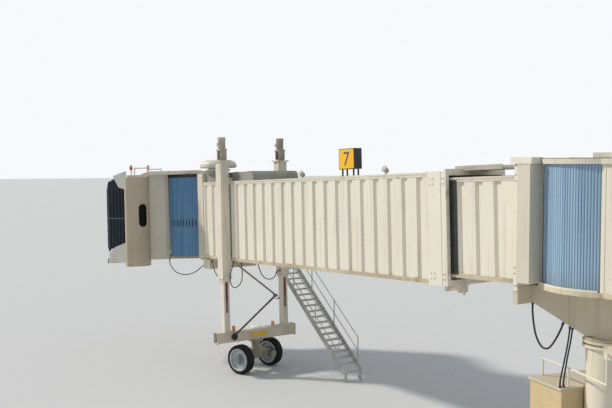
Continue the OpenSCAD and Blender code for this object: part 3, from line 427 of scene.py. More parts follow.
# Black cables hang in loops from the girder, over the service building and under the outer tunnel.
# Each is a rubber-sheathed lead of one length that leaves a gland and goes back into another.
sheath = Finish("cable_rubber", "1B1C1E", Roughness=0.6)
dust = sheath.noise(9, 5).clear(0.45, 0.75)
sheath.drive(Base_Color=sheath.mix(dust * 0.4, "17181A", "4B4844"), Roughness=0.5 + dust * 0.25)
sheath.bump(sheath.noise(60, 3), 0.002)


def hang_cable(name, body, node, radius, where, points):
    """One spline along the route, swept with a round section; its length is the route's own."""
    line = route(where(points), 4)
    data = bpy.data.curves.new(name, "CURVE")
    data.dimensions = "3D"
    spline = data.splines.new("POLY")
    spline.points.add(len(line) - 1)
    spline.points.foreach_set("co", np.c_[line, np.ones(len(line))].ravel())
    data.bevel_depth = radius
    data.bevel_resolution = 3
    data.use_fill_caps = True
    data.materials.append(sheath.material)
    lead = add_object(name, data)
    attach(lead, body)
    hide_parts(node)
    return line


LEADS = [
    ("girder_lead", "swing", "girder_cable", 0.024, in_place,
     [(1.45, .894, 4.7397), (1.45, .894, 4.45), (1.32, .94, 4.0), (1.13, .955, 3.73), (.96, .91, 3.7),
      (.85, .82, 3.88), (.77, .71, 4.14), (.741, .64, 4.326)]),
    ("column_lead_1", "base", "column_cables", 0.020, in_place,
     [(.6, .578, 4.242), (.618, .6, 3.95), (.65, .68, 3.5), (.678, .8, 2.98), (.68, .8, 2.8003)]),
    ("column_lead_2", "base", "column_cables", 0.020, in_place,
     [(.545, .552, 4.208), (.575, .575, 3.9), (.63, .63, 3.45), (.658, .7, 2.98), (.66, .7, 2.8003)]),
    ("loop_lead", "outer_tunnel", "tunnel_cables", 0.018, on_tunnel,
     [(14.17, 1.085, -.1103), (14.17, 1.085, -.26), (14.17, 1.19, -.5), (14.17, 1.24, -.8),
      (14.17, 1.15, -1.08), (14.17, .98, -1.13), (14.17, .76, -.95), (14.17, .7, -.6),
      (14.17, .74, -.14), (14.17, .74, -.0103)]),
    ("cross_lead", "outer_tunnel", "tunnel_cables", 0.018, on_tunnel,
     [(14.17, 0, -.0103), (14.17, 0, -.12), (14.17, -.06, -.45), (14.17, -.22, -.78), (14.17, -.48, -.93),
      (14.2, -.76, -.88), (14.29, -.96, -.68), (14.3, -1.0597, -.63), (14.3, -1.1347, -.63)]),
    ("frame_lead", "outer_tunnel", "tunnel_cables", 0.018, on_tunnel,
     [(16.0897, 1.0, -.25), (16.0197, 1.0, -.25), (15.85, 1.06, -.42), (15.4, 1.2, -.64), (14.98, 1.33, -.73),
      (14.76, 1.385, -.68), (14.6953, 1.395, -.67), (14.6253, 1.395, -.67)]),
    ("cab_lead", "outer_tunnel", "tunnel_cables", 0.018, on_tunnel,
     [(18.3, 1.79, -.204), (18.29, 1.77, -.45), (18.1, 1.6, -.76), (17.7, 1.36, -.86), (17.2, 1.16, -.72),
      (16.85, 1.03, -.48), (16.68, 1.0, -.4), (16.6003, 1.0, -.4)]),
]
lead_lines = [hang_cable(*lead) for lead in LEADS]

# Cable glands: a short tapered rubber sleeve over each end of a lead, where it enters the steel.
GLAND_STEPS = np.array([0.002, 0.012, 0.014, 0.045, 0.075])[:, None]
GLAND_SHARES = np.array([1.9, 1.9, 1.5, 1.35, 1.08])
for (lead_name, body, _, radius, *_), line in zip(LEADS, lead_lines):
    glands = []
    for end in (line[:2], line[::-1][:2]):
        out = (end[1] - end[0]) / np.linalg.norm(end[1] - end[0])
        glands.append(sleeve_mesh(end[0] + GLAND_STEPS * out, GLAND_SHARES * radius, 16))
    make_piece(lead_name + "_glands", *gather(glands), sheath, body, "black_rubber")

# The column: a rolled tube on a bolted foot flange, gussets round it, and the slewing bearing's
# pair of flanges on top, where rust bleeds out between them.
column_rust = [("z", 3.9, 0.26), ("z", 0.03, 0.22)]
dress(weathered("column_paint", "E2DAC6", "C9BEA6", 0.35, column_rust), "column")
steel_bolt = spotted("dull_bolt", "77726A", ("8B8880", "6B4F38"), 14, 4, (0.4, 0.7), 1, 0.4, 0.3,
                     Metallic=0.85, Roughness=0.55)


def bolts(name, places, ways, across, height, body):
    """Hexagonal heads: six corners in a plane square to their way, from the seat to the height."""
    places = np.asarray(places, float)
    steps = np.array([-0.004, height * 0.82, height])[:, None]
    radii = [across / 2, across / 2, across * 0.4]
    parts = [sleeve_mesh(place + steps * (way / np.linalg.norm(way)), radii, 6)
             for place, way in zip(places, np.broadcast_to(np.asarray(ways, float), places.shape))]
    make_piece(name, *gather(parts), steel_bolt, body, "galvanised", False)


def upright_circle(count, phase, radius, height):
    """Even places round the upright axis; the phase is a share of the step between them."""
    a = (np.arange(count) + phase) * math.tau / count
    return polar(radius, a, height)


def outward(places):
    """The way from the middle plane at each of the places: along +Y or -Y."""
    return [(0, np.sign(y), 0) for _, y, _ in places]


bolts("anchor_nuts", upright_circle(12, 0, 0.67, 0.05), UP, 0.072, 0.034, "base")
bolts("slewing_bolts", upright_circle(28, 0.5, 0.52, 3.92), (0, 0, -1), 0.045, 0.028, "base")
rusty = weathered("rusted_edge", "A98C66", "6B4A31", 0.6, [("z", 3.95, 0.5)], 0.8, 0.7)
seam = [(0.46, 3.9795), (0.522, 3.972), (0.531, 3.98), (0.524, 3.988), (0.46, 3.9805)]
make_piece("slewing_seal", *lathe_mesh(seam, 96), rusty, "base", "ivory_paint")

# The low service building beside the column: tan render with a concrete cap, and the painted
# handrail that runs round the column's opening.
render_coat = weathered("tan_render", "CDBB98", "A8926C", 0.45, [], 0.85, 0.6)
grit = render_coat.noise(7, 6)
height = render_coat.place()[2]
coat = render_coat.mix(grit.clear(0.45, 0.8) * 0.35, "CDB890", "AD9872")
cap_coat = render_coat.mix(grit, "B9B09C", "D2CAB8")
coat = render_coat.mix(height.clear(2.738, 2.741), coat, cap_coat)
railing = height.clear(2.802, 2.806)
render_coat.drive(Base_Color=render_coat.mix(railing, coat, "E2DCCB"), Roughness=0.9 - railing * 0.45)
dress(render_coat, "service_block")

# The rotunda: a round floor and roof on the king post, both plated, with the terminal's fixed
# walls behind and a thin drip ring and track round the rims that the curtains run between.
dress(weathered("rotunda_ring_paint", "D9CCB0", "A8926D", 0.5, [("z", 5.2, 0.12)]), "rotunda_floor")
dress(weathered("rotunda_roof_paint", "DCD5C4", "9A9282", 0.4, [("z", 8.19, 0.05)]), "rotunda_roof")
cream = weathered("cream_paint", "E6DFCF", "CFC6B2", 0.3)
dress(cream, "terminal_walls")
track = [(1.535, 5.2802), (1.575, 5.2802), (1.575, 5.318), (1.57, 5.322), (1.54, 5.322), (1.535, 5.318)]
tracks = [arc_mesh(track, s * 50, s * 118, 40) for s in BOTH]
make_piece("rotunda_track", *gather(tracks), cream, "base", "ivory_paint")
tar = weathered("roof_felt", "45433E", "2E2C28", 0.3, (), 0.9, 0.6)
felt = [(1.3, 8.2004), (1.592, 8.2004), (1.596, 8.206), (1.592, 8.214), (1.3, 8.209)]
make_piece("roof_felt_ring", *lathe_mesh(felt, 128), tar, "base", "ivory_paint")


# Slat curtains: upright aluminium slats, hinged edge to edge. They are pulled off a roller in the
# housing as the joint turns. Those of the rotunda are lacquered light blue.
def groove_shade(x, y, radius):
    """Painted shade in the grooves between the slats: 1 where the surface lies nearer the curtain's axis."""
    return ((x * x + y * y) ** 0.5).clear(radius - 0.0035, radius - 0.011)


def slat_mesh(radius, low, high, start, end, where):
    """Closed shell on an arc. The outside swells between the hinges as the square root of a sine of the
    arc length, and the inside is the plain cylinder one thickness in."""
    rows, count = 3, slat_count(radius, start, end)
    s = np.linspace(0, count, count * 8 + 1)
    swell = np.abs(np.sin(math.pi * s)) ** 0.5
    a = np.radians(start + (end - start) * s / count)
    z = np.linspace(low, high, rows)[:, None]
    outer = radius - SLAT_DEPTH * (1 - swell)
    inner = np.full_like(outer, radius - SLAT_THICK)
    loop_r, loop_a = np.concatenate([outer, inner[::-1]]), np.concatenate([a, a[::-1]])
    grid = where(polar(loop_r, loop_a, z))
    n = len(a)
    faces = skin(rows, 2 * n, close_cols=True).tolist()
    k = np.arange(n - 1)
    for base in (0, (rows - 1) * 2 * n):
        far = base + 2 * n - 1 - k
        faces += np.stack([base + k, base + k + 1, far - 1, far], -1).tolist()
    return grid.reshape(-1, 3), faces


def slat_count(radius, start, end):
    return round(radius * math.radians(abs(end - start)) / SLAT_PITCH)


lacquer = Finish("light_blue_slats", "96B2C8", Roughness=0.38, Specular_IOR_Level=0.45)
wash = lacquer.noise((9, 9, 0.3), 5)
fine = lacquer.noise((30, 30, 3), 3)
blue = lacquer.mix(wash.clear(0.35, 0.75), "9DB8CD", "809DB8")
x, y, z = lacquer.place()
blue = lacquer.mix(z.clear(5.75, 5.28) * wash * 0.7, blue, "7C7C75")
# Painted shade: the grooves between the slats darken to a deeper blue.
blue = lacquer.mix(groove_shade(x, y, CURTAIN_R) * 0.42, blue, "4F6B85")
lacquer.drive(Base_Color=blue, Roughness=0.32 + fine * 0.2)
lacquer.bump(fine, 0.001)
for mark, side in SIDES:
    slats = slat_mesh(CURTAIN_R, 5.2803, 8.0797, side * 119.2, side * 54, in_place)
    curtain = make_piece("rotunda_curtain_" + mark, *slats, lacquer, None, "blue_slats")
    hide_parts("rotunda_curtains")
    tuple(at_angle(1.52, side * 119.2))
    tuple(at_angle(1.52, side * 54))
    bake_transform(curtain)

# The swinging girder, the portal on its cross beam and the boxes that hold the curtain rollers:
# folded plate, welded, with bolted covers at the corners.
portal_rust = [("z", 8.235, 0.1), ("z", 4.8, 0.15)]
portal_paint = weathered("portal_paint", "E9E4D6", "D6CDBB", 0.22, portal_rust)
# The girder's ivory is a darker copy of the portal's paint: painted shade.
dress(weathered("girder_paint_shaded", "D2C8B2", "A8997D", 0.4, [("z", 3.99, 0.14)]), "girder")
dress(portal_paint, "portal_frame")
dress(weathered("housing_paint", "DAD3C2", "BDB29C", 0.25, [("z", 5.3, 0.1)]), "curtain_housings")
covers = [plate_mesh(rounded(0.11, 0.2, 0.01), 0.006, (1.47, side * 1.5, z), (-side, 0, 0), UP)
          for z in (5.12, 5.55, 7.75, 8.12) for side in BOTH]
soften(make_piece("portal_corner_plates", *gather(covers), portal_paint, "swing", "ivory_paint", False))
spots = [(x, side * 1.506, z) for z in (5.05, 5.19, 5.48, 5.62, 7.68, 7.82, 8.05, 8.19)
         for x in (1.44, 1.5) for side in BOTH]
bolts("portal_bolts", spots, outward(spots), 0.028, 0.014, "swing")
rubber = spotted("seal_rubber", "1C1D20", ("16171A", "45423D"), 5, 6, (0.4, 0.8), 0.5, 0.6, 0.2,
                 Roughness=0.7)
rubber.bump(rubber.noise(45, 3), 0.002)
# Black strips on each roller housing's back edge, beside the curtain: painted shadow between the housing and
# the curtain.
strips = [plate_mesh(rectangle(0, 5.3, 0.05, 8.06), 0.012, (0.945, side * 1.51, 0), (0, side, 0), UP)
          for side in BOTH]
make_piece("housing_shadow_strips", *gather(strips), rubber, "swing", "black_rubber", False)

# The tunnels: trapezoidal steel sheet between box rails, roofed and floored with plate. The inner
# one slides on rollers in the outer one. Rust bleeds along the rails.
rails_a = [("w", 2.65, 0.05), ("w", 0.23, 0.05)]
rails_b = [("w", 2.81, 0.05), ("w", 0.015, 0.05)]
collar_rust = [("u", 2.49, 0.05), ("w", -0.13, 0.07)]
end_rust = [("w", 2.82, 0.06), ("w", -0.15, 0.12)]
under_paint = weathered("underside_paint", "CFC3AA", "8E7E66", 0.6, [("w", -0.05, 0.2)], 0.6, 0.5)
roof_a_paint = weathered("tunnel_roof_paint", "DDD5C4", "A89F8D", 0.35, [("w", 2.64, 0.06)], 0.55, 0.6)
roof_b_paint = weathered("tunnel_b_roof_paint", "E3DCCB", "B3A993", 0.4, [("w", 2.815, 0.05)], 0.5, 0.5)
collar_paint = weathered("collar_paint", "E9E3D5", "D8CFBD", 0.25, collar_rust)
dress(weathered("tunnel_a_paint", "E7E1D2", "D2C9B6", 0.3, rails_a), "tunnel_a_walls")
dress(weathered("tunnel_b_paint", "E8E2D3", "D3CAB8", 0.34, rails_b), "tunnel_b_walls")
dress(under_paint, "tunnel_a_floor", "tunnel_b_floor", "ring_floor")
dress(roof_a_paint, "tunnel_a_roof")
dress(roof_b_paint, "tunnel_b_roof")
dress(collar_paint, "tunnel_b_collar")
dress(weathered("end_frame_paint", "DCD4C3", "B7AC97", 0.5, end_rust), "tunnel_b_end_frame")

# The outer tunnel's mouth: black brush seals close the gap round the inner tunnel, with a black band of
# sheet ahead of them as painted shadow of the collar, and the collar's plates are held by bolts at their
# corners.
seals_and_shadow_band = []
for side in BOTH:
    seals_and_shadow_band.append((rectangle(0.2, 0, 2.7, 0.018), 0.012, (MOUTH_U, side * 1.008, 0), UP, (0, side, 0)))
    # Painted shadow of the collar: a black band of sheet on the inner tunnel's wall, just ahead of the mouth.
    seals_and_shadow_band.append((rectangle(-0.24, 0.2, 0, 2.7), 0.006, (SHADOW_BAND_U, side * 1.017, 0), (1, 0, 0), UP))
seals_and_shadow_band.append((rectangle(-1.0, 2.8, 1.0, 2.83), 0.012, (MOUTH_U, 0, 0), (0, 1, 0), UP))
seals_and_shadow_band = [plate_mesh(*seal, on_tunnel) for seal in seals_and_shadow_band]
make_piece("mouth_seal_and_shadow_band", *gather(seals_and_shadow_band), rubber, "outer_tunnel", "black_rubber", False)
tin = [plate_mesh(rounded(width, 0.22, 0.02), 0.006, (u, side * 1.15, w), (-side, 0, 0), UP, on_tunnel)
       for side in BOTH for w in (0.12, 2.68) for width, u in ((0.2, 3.05), (0.16, 2.6))]
soften(make_piece("collar_plates", *gather(tin), collar_paint, "outer_tunnel", "ivory_paint", False))
spots = [(u, side * 1.156, w) for side in BOTH for w in (0.05, 0.19, 2.61, 2.75)
         for u in (2.56, 2.64, 2.99, 3.11)]
bolts("collar_bolts", on_tunnel(spots), outward(spots), 0.026, 0.014, "outer_tunnel")


def drip_strips(name, u0, u1, v, w, finish, body):
    """Roof edge of a tunnel: a folded drip strip along the top rail on each side, in eight lengths."""
    section = [(0.0, 0.004), (0.012, 0.004), (0.012, -0.05), (0.008, -0.05), (0.008, 0.0), (0.0, 0.0)]
    stations = np.linspace(u0, u1, 9)
    strips = []
    for side in BOTH:
        line = on_tunnel([[(u, side * (v + a), w + b) for a, b in section] for u in stations])
        strips.append((line.reshape(-1, 3), tube_faces(len(stations), len(section))))
    make_piece(name, *gather(strips), finish, body, "ivory_paint", False)


drip_strips("drip_strips_a", 0.3, 2.4, 0.997, 2.767, roof_a_paint, "inner_tunnel")
drip_strips("drip_strips_b", 3.24, 16.38, 1.128, 2.933, roof_b_paint, "outer_tunnel")

# Roof gear: a grey cable housing with strapped covers, its mushroom ventilator, the open cable
# ladder that reaches over the inner tunnel, and two small floodlights.
housing_grey = weathered("roof_housing_paint", "A9A79F", "6E6B63", 0.7, [("w", 2.95, 0.12)], 0.7, 0.8)
vent_paint = weathered("ventilator_paint", "E9E5DB", "BDB5A6", 0.5, [("w", 3.4, 0.1)], 0.45, 0.5)
dress(housing_grey, "roof_housing")
dress(vent_paint, "roof_ventilator")
dress(weathered("fittings_paint", "BDB8AC", "6E6A60", 0.5, [], 0.6, 0.6), "roof_fittings")
straps = [plate_mesh(rectangle(-1.0, 0.0, 1.0, 0.012), 0.05, (u, 0, 3.275), (0, 1, 0), UP, on_tunnel)
          for u in (13.0, 14.0, 15.0)]
make_piece("housing_straps", *gather(straps), housing_grey, "outer_tunnel", "grey_paint", False)
louvres = [lathe_mesh([(0.4, w), (0.425, w - 0.008), (0.43, w - 0.004), (0.404, w + 0.008)], 48,
                      on_tunnel, (16.0, 0.64)) for w in np.arange(3.30, 3.40, 0.028)]
make_piece("ventilator_louvres", *gather(louvres), vent_paint, "outer_tunnel", "white_paint")

# The gate sign: a yellow-faced light box with black ends on four legs. Its faces carry one plain
# numeral each, cut from thin sheet.
sign_black = spotted("sign_case", "17181A", ("141517", "3E3B37"), 6, 5, (0.4, 0.8), 0.35, 0.38, 0.2,
                     Roughness=0.45)
dress(sign_black, "sign_box")
sign_yellow = spotted("sign_face", "F5B915", ("F7BE12", "E39A10"), (2.4, 2.4, 1.1), 4, (0.4, 0.8),
                      0.5, 0.34, 0.2, Roughness=0.4)
numeral_ink = spotted("sign_numeral", "3A3A4E", ("33333F", "55546A"), 9, 4, (0, 1), 1, 0.4, 0.2,
                      Roughness=0.5)
panes = [plate_mesh(rounded(0.74, 0.6, 0.015), 0.004, (SIGN_U, v, SIGN_W), (way, 0, 0), UP, on_tunnel)
         for v, way in ((1.02, -1), (0.72, 1))]
make_piece("sign_faces", *gather(panes), sign_yellow, "outer_tunnel", "yellow_paint", False)
for mark, v, way in (("near", 1.0255, -1), ("far", 0.7145, 1)):
    glyph = bpy.data.curves.new("numeral_" + mark, "FONT")
    glyph.body = "7"
    glyph.size = 0.62
    glyph.extrude = 0.001
    glyph.align_x = "CENTER"
    letter = add_object("numeral_" + mark, glyph)
    bpy.context.view_layer.update()
    flat = bpy.data.meshes.new_from_object(letter)
    bpy.data.objects.remove(letter)
    own = np.array([p.co for p in flat.vertices])
    own[:, 1] -= (own[:, 1].max() + own[:, 1].min()) / 2
    placed = on_tunnel(np.c_[SIGN_U + way * own[:, 0] * 1.1, v + own[:, 2] * -way, SIGN_W + own[:, 1]])
    faces = [list(p.vertices) for p in flat.polygons]
    make_piece("sign_numeral_" + mark, placed, faces, numeral_ink, "outer_tunnel", "grey_paint", False)

# The lift: two square columns with screw drives on their heads. Each inner leg slides up inside,
# greased, with a dark red depth stripe on its face, and stands on the crossbeam.
lift_rust = [("w", -0.8, 0.12), ("w", 3.7, 0.1)]
dress(weathered("lift_tube_paint", "E6DFCE", "B9AF9B", 0.6, lift_rust), "lift_tubes")
leg_paint = Finish("lift_leg_paint", "DDD6C6", Roughness=0.5)
_, y, z = leg_paint.place()
facing = leg_paint.place(leg_paint.node("ShaderNodeNewGeometry", {}, {}, "Normal"))[0].clear(-0.6, -0.8)
speck = leg_paint.noise((5, 5, 0.8), 5)
run = leg_paint.noise((16, 16, 0.6), 4).clear(0.5, 0.75)
stripe = abs(abs(y) - LIFT_V).clear(0.058, 0.05) * facing * z.clear(2.35, 2.4)
tint = leg_paint.mix(run * 0.5, "E0DACB", "8D8576")
tint = leg_paint.mix(stripe * (speck.clear(0.2, 0.5) * 0.5 + 0.5), tint, "6B2028")
leg_paint.drive(Base_Color=tint, Roughness=0.4 + speck * 0.25)
leg_paint.bump(speck, 0.002, 0.4)
dress(leg_paint, "lift_legs")
drive_paint = weathered("lift_drive_paint", "D2CBBD", "736B5E", 0.5, [("w", 4.1, 0.4)], 0.55, 0.9)
dress(drive_paint, "lift_drives")
fins = [lathe_mesh(rectangle(0.138, w, 0.156, w + 0.008), 40, on_tunnel, (LIFT_U, side * LIFT_V))
        for side in BOTH for w in np.arange(4.20, 4.47, 0.03)]
make_piece("drive_motor_fins", *gather(fins), drive_paint, "outer_tunnel", "grey_paint")
spots = [(LIFT_U + u, side * LIFT_V + v, 3.73) for side in BOTH
         for u in (-0.21, -0.07, 0.07, 0.21) for v in (-0.215, 0.215)]
bolts("lift_head_bolts", on_tunnel(spots), UP, 0.034, 0.02, "outer_tunnel")
conduit = [(14.69, 1.47, 3.69), (14.66, 1.4, 3.3)] + [(14.655, 1.38, w) for w in (3, 2, 1, 0, -0.6)]
conduit = on_tunnel(route(conduit, 5))
conduit = sleeve_mesh(conduit, np.full(len(conduit), 0.016), 10)
make_piece("lift_conduit", *conduit, sheath, "outer_tunnel", "black_rubber")

# The crossbeam ties both legs: a box girder with end flanges, yellow marker plates without
# words on its face, the white slewing cap, and amber lamps.
dress(weathered("crossbeam_paint", "D9D1BF", "A99D88", 0.6, [("z", 1.24, 0.1)]), "crossbeam")
plates = [plate_mesh(rounded(0.33, 0.15, 0.015), 0.006, (BEAM_X - 0.206, y, 1.43), (0, -1, 0), UP)
          for y in (0.185, -0.185)]
make_piece("marker_plates", *gather(plates), sign_yellow, "legs", "yellow_paint", False)
cap_white = weathered("slewing_cap_paint", "F6F4EE", "DDD8CC", 0.15)
cap = [(0.001, 1.725), (0.12, 1.722), (0.19, 1.708), (0.208, 1.69), (0.208, 1.655), (0.201, 1.645),
       (0.001, 1.645)]
make_piece("slewing_cap", *lathe_mesh(cap, 64, in_place, (BEAM_X, 0)), cap_white, "legs", "white_paint")


def lens_finish(name, colour, low, high, rough):
    """Clear-coated lens plastic, streaked between two tones."""
    f = Finish(name, colour, Roughness=rough, Coat_Weight=0.6)
    f.drive(Base_Color=f.mix(f.noise((20, 20, 4), 3), low, high))
    return f


lens_ring = [(0.0005, 1.700), (0.064, 1.700), (0.068, 1.712), (0.0655, 1.73), (0.068, 1.75),
             (0.0655, 1.77), (0.068, 1.79), (0.0655, 1.81), (0.064, 1.828), (0.0005, 1.8285)]
lamps = [lathe_mesh(lens_ring, 48, in_place, (BEAM_X - 0.06, y)) for y in (1.02, -0.75)]
amber = lens_finish("amber_lens", "F08A1C", "E87B12", "FFB040", 0.18)
make_piece("amber_lamp_lenses", *gather(lamps), amber, "legs", "yellow_paint")

# Bogie: a steered frame with two gear motors, cast hubs and solid rubber tyres on dished steel
# wheels, all in old grey-green and cream paint with oil round the shafts.
dress(weathered("bogie_paint", "C9C2AC", "7A7767", 0.5, [("z", AXLE_Z, 0.4)], 0.55, 0.9), "bogie_frame")
motor_green = weathered("gear_motor_paint", "8F9C94", "4A504C", 0.4, (), 0.45, 0.8)
cooling = []
for side in BOTH:
    for x in np.arange(0.31, 0.49, 0.022):
        fin = rectangle(0.116, side * x, 0.134, side * (x + 0.007))
        cooling.append(lathe_mesh(fin, 40, lying((2, 0, 1), on_bogie), (side * 0.47, 0.6)))
make_piece("gear_motor_fins", *gather(cooling), motor_green, "bogie", "grey_paint")
tyre = spotted("tyre_rubber", "141416", ("0D0D0F", "3C3935"), 3, 6, (0.45, 0.75), 0.2, 0.68, 0.2,
               Roughness=0.8, Specular_IOR_Level=0.3)
tyre.bump(tyre.noise(30, 4), 0.004)
dress(tyre, "near_tyre", "far_tyre")
around_axle = lying((0, 2, 1), on_bogie)
BEAD = ((-0.004, 0.0), (0.0, 0.004), (0.004, 0.0), (0.0, -0.004))
for mark, side in SIDES:
    wheel_y = side * WHEEL_Y
    wheel_body = mark + "_wheel_body"
    wheel = Finish("wheel_paint_" + mark, "B6BDC0", Roughness=0.42)
    x, _, z = wheel.place_from(on_bogie((0, wheel_y, AXLE_Z)), (0, 0, STEER))
    grime = wheel.noise(6, 6)
    hub_dirt = ((x * x + z * z) ** 0.5 + grime * 0.08).clear(0.27, 0.2)
    tint = wheel.mix(grime.clear(0.35, 0.75) * 0.5, "BCC5C9", "868F94")
    tint = wheel.mix(hub_dirt * 0.75, tint, "5A5650")
    wheel.drive(Base_Color=tint, Roughness=0.36 + grime * 0.25)
    wheel.bump(grime, 0.003, 0.5)
    dress(wheel, mark + "_wheel")
    beads = []
    for radius in (0.49, 0.515):
        bead = [(radius + a, wheel_y + side * (0.17 + b)) for a, b in BEAD]
        beads.append(lathe_mesh(bead, 96, around_axle, (0, AXLE_Z)))
    make_piece(mark + "_tyre_beads", *gather(beads), tyre, wheel_body, "tyre_rubber")
    spots = around_axle(upright_circle(12, 0.5, 0.335, wheel_y + side * 0.061) + (0, AXLE_Z, 0))
    way = on_bogie((0, side, 0)) - on_bogie((0, 0, 0))
    bolts(mark + "_rim_bolts", spots, way, 0.03, 0.016, wheel_body)

# Cable guide: two flat arms hinged at an elbow with a curved guard plate, and a rubber disc where
# the lower arm turns on the crossbeam.
arm_steel = weathered("cable_arm_paint", "A79C90", "6C625A", 0.4, (), 0.6, 0.6)
dress(arm_steel, "upper_arm")
dress(weathered("cable_arm_dark", "55524D", "2E2C2A", 0.4, (), 0.6, 0.6), "lower_arm")
along_tunnel = lying((2, 0, 1), on_tunnel)
hub = [(0.03, 13.985), (0.12, 13.985), (0.135, 13.995), (0.135, 14.035), (0.12, 14.045), (0.03, 14.045)]
make_piece("arm_hub_disc", *lathe_mesh(hub, 48, along_tunnel, (1.19, -2.979)), rubber, "legs", "black_rubber")
guard = rectangle(0.135, 13.93, 0.141, 14.045)
guard = arc_mesh(guard, -150, 25, 30, along_tunnel, (-0.73, -1.578))
make_piece("elbow_guard", *guard, arm_steel, "upper_arm_body", "galvanised")

# The cab's turning ring, roof and walls: folded grey-cream sheet. The roller housings stand
# beside the opening, and the operator's booth bulges out on the near side.
dress(weathered("cab_paint", "CFC9BC", "A59A88", 0.3, [("w", -0.2, 0.1)]), "cab_walls", "ring_roof")
dress(under_paint, "cab_floor")
dress(roof_b_paint, "cab_roof")
booth_rust = [("w", -0.44, 0.12)]
dress(weathered("booth_paint", "C3B7A2", "A08F78", 0.28, booth_rust, 0.5, 0.45), "operator_booth")
dress(weathered("cheek_paint", "E4E2DA", "C9C4B8", 0.2, [("w", -0.3, 0.08)]), "canopy_cheeks")

# Slat curtains of the cab: darker blue lacquer, with a row of slotted view holes at waist height.
# They run from the cab's roller housings to the outer tunnel's jambs.
deep = Finish("deep_blue_slats", "4C7396", Roughness=0.4, Specular_IOR_Level=0.45)
wash = deep.noise((9, 9, 0.3), 5)
fine = deep.noise((30, 30, 3), 3)
x, y, _ = deep.place_from(HINGE, (0, SLOPE, 0))
shade = deep.mix(wash.clear(0.35, 0.75), "6390B8", "4C759B")
# Painted shade: the grooves between the slats darken to a deeper blue.
shade = deep.mix(groove_shade(x - CAB_U, y, CAB_CURTAIN_R) * 0.5, shade, "2E4A64")
deep.drive(Base_Color=shade, Roughness=0.34 + fine * 0.2)
deep.bump(fine, 0.001)
slot_black = Finish("slot_shadow", "0E1114", Roughness=0.8)
slot_black.bump(slot_black.noise(40, 3), 0.001)
outline = rounded(0.034, 0.3, 0.0169)
SLOT_RIMS, SLOT_Z = (1.782, 1.770), 1.3
for mark, fixed, turning in (("near", 140.0, 91.0), ("far", -140.0, 9.0)):
    slats = slat_mesh(CAB_CURTAIN_R, -0.07, 3.29, fixed, turning, ring_axis)
    curtain = make_piece("cab_curtain_" + mark, *slats, deep, None, "dark_blue_slats")
    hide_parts("cab_curtains")
    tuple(at_angle(1.78, fixed, ring_axis))
    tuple(at_angle(1.78, turning, ring_axis))
    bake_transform(curtain)
    count = slat_count(CAB_CURTAIN_R, fixed, turning)
    holes = []
    for k in range(1, count - 1, 2):
        a = math.radians(fixed + (turning - fixed) * (k + 0.5) / count) + outline[:, 0] / CAB_CURTAIN_R
        rims = [polar(radius, a, SLOT_Z + outline[:, 1]) for radius in SLOT_RIMS]
        holes.append((ring_axis(np.concatenate(rims)), tube_faces(2, len(a))))
    slots = make_piece("curtain_slots_" + mark, *gather(holes), slot_black, None, "dark_blue_slats", False)
    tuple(at_angle(1.78, fixed, ring_axis))
    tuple(at_angle(1.78, turning, ring_axis))
    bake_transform(slots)
# A black band round the top of the cab's curtains, under the roof's rim: painted shadow of the roof.
roof_shadow_band = [(1.72, 3.2905), (1.7835, 3.2905), (1.7835, 3.17), (1.797, 3.17), (1.797, 3.297), (1.72, 3.297)]
roof_shadow_band = arc_mesh(roof_shadow_band, -139.5, 139.5, 120, ring_axis)
make_piece("ring_shadow_band", *roof_shadow_band, rubber, "outer_tunnel", "black_rubber")

# The booth's window: dark tinted acrylic in a black rubber gasket, bent round the rear corner
# so the operator sees back along the bridge.
tinted = spotted("tinted_window", "06090A", ("040506", "0A0E0F"), 3, 4, (0.4, 0.8), 0.4, 0.18, 0.08,
                 Roughness=0.2, Specular_IOR_Level=0.12)
CORNER, CORNER_R, WINDOW_Z = (2.66, 1.44), 0.52, 1.65
PANE_ROWS, PANE_SIDES, PANE_RADII = 10, 64, (0.5252, 0.5206)
PANE_HALF, PANE_STRAIGHT = 0.17, 0.29
GASKET_R, GASKET_BEAD, BEAD_SIDES = 0.5235, 0.009, 8


def on_corner(radius, s, z):
    """Cab point on the booth's rear corner: s metres round from its middle, at height z."""
    a = math.radians(135) + s / CORNER_R
    return on_cab(polar(radius, a, z, CORNER))


t = np.linspace(0, math.tau, PANE_SIDES, endpoint=False)
stadium = PANE_HALF * np.stack([np.cos(t), np.sin(t)], -1)
stadium[:, 1] += np.sign(np.sin(t)) * PANE_STRAIGHT
grown = np.linspace(0.02, 1.0, PANE_ROWS)[:, None]
s_grid, z_grid = grown * stadium[:, 0], WINDOW_Z + grown * stadium[:, 1]
pane = np.concatenate([on_corner(radius, s_grid, z_grid).reshape(-1, 3) for radius in PANE_RADII])
front = skin(PANE_ROWS, PANE_SIDES, close_cols=True)
layer, last = PANE_ROWS * PANE_SIDES, (PANE_ROWS - 1) * PANE_SIDES
pane_faces = front.tolist() + (front + layer).tolist()
pane_faces += [list(range(PANE_SIDES)), list(range(layer + PANE_SIDES - 1, layer - 1, -1))]
j = np.arange(PANE_SIDES)
k = (j + 1) % PANE_SIDES
pane_faces += np.stack([last + j, last + k, layer + last + k, layer + last + j], -1).tolist()
make_piece("booth_window", pane, pane_faces, tinted, "cab", "grey_paint")
bead_angle = np.linspace(0, math.tau, BEAD_SIDES, endpoint=False)
frame_s = stadium[:, :1] * (1 + 0.06 * np.cos(bead_angle))
frame_z = WINDOW_Z + stadium[:, 1:] * (1 + 0.025 * np.cos(bead_angle))
radii = GASKET_R + GASKET_BEAD * np.sin(bead_angle)[None, :] + 0 * frame_s
gasket = on_corner(radii, frame_s, frame_z).reshape(-1, 3)
gasket_faces = skin(PANE_SIDES, BEAD_SIDES, close_rows=True, close_cols=True)
make_piece("booth_window_gasket", gasket, gasket_faces, rubber, "cab", "black_rubber")

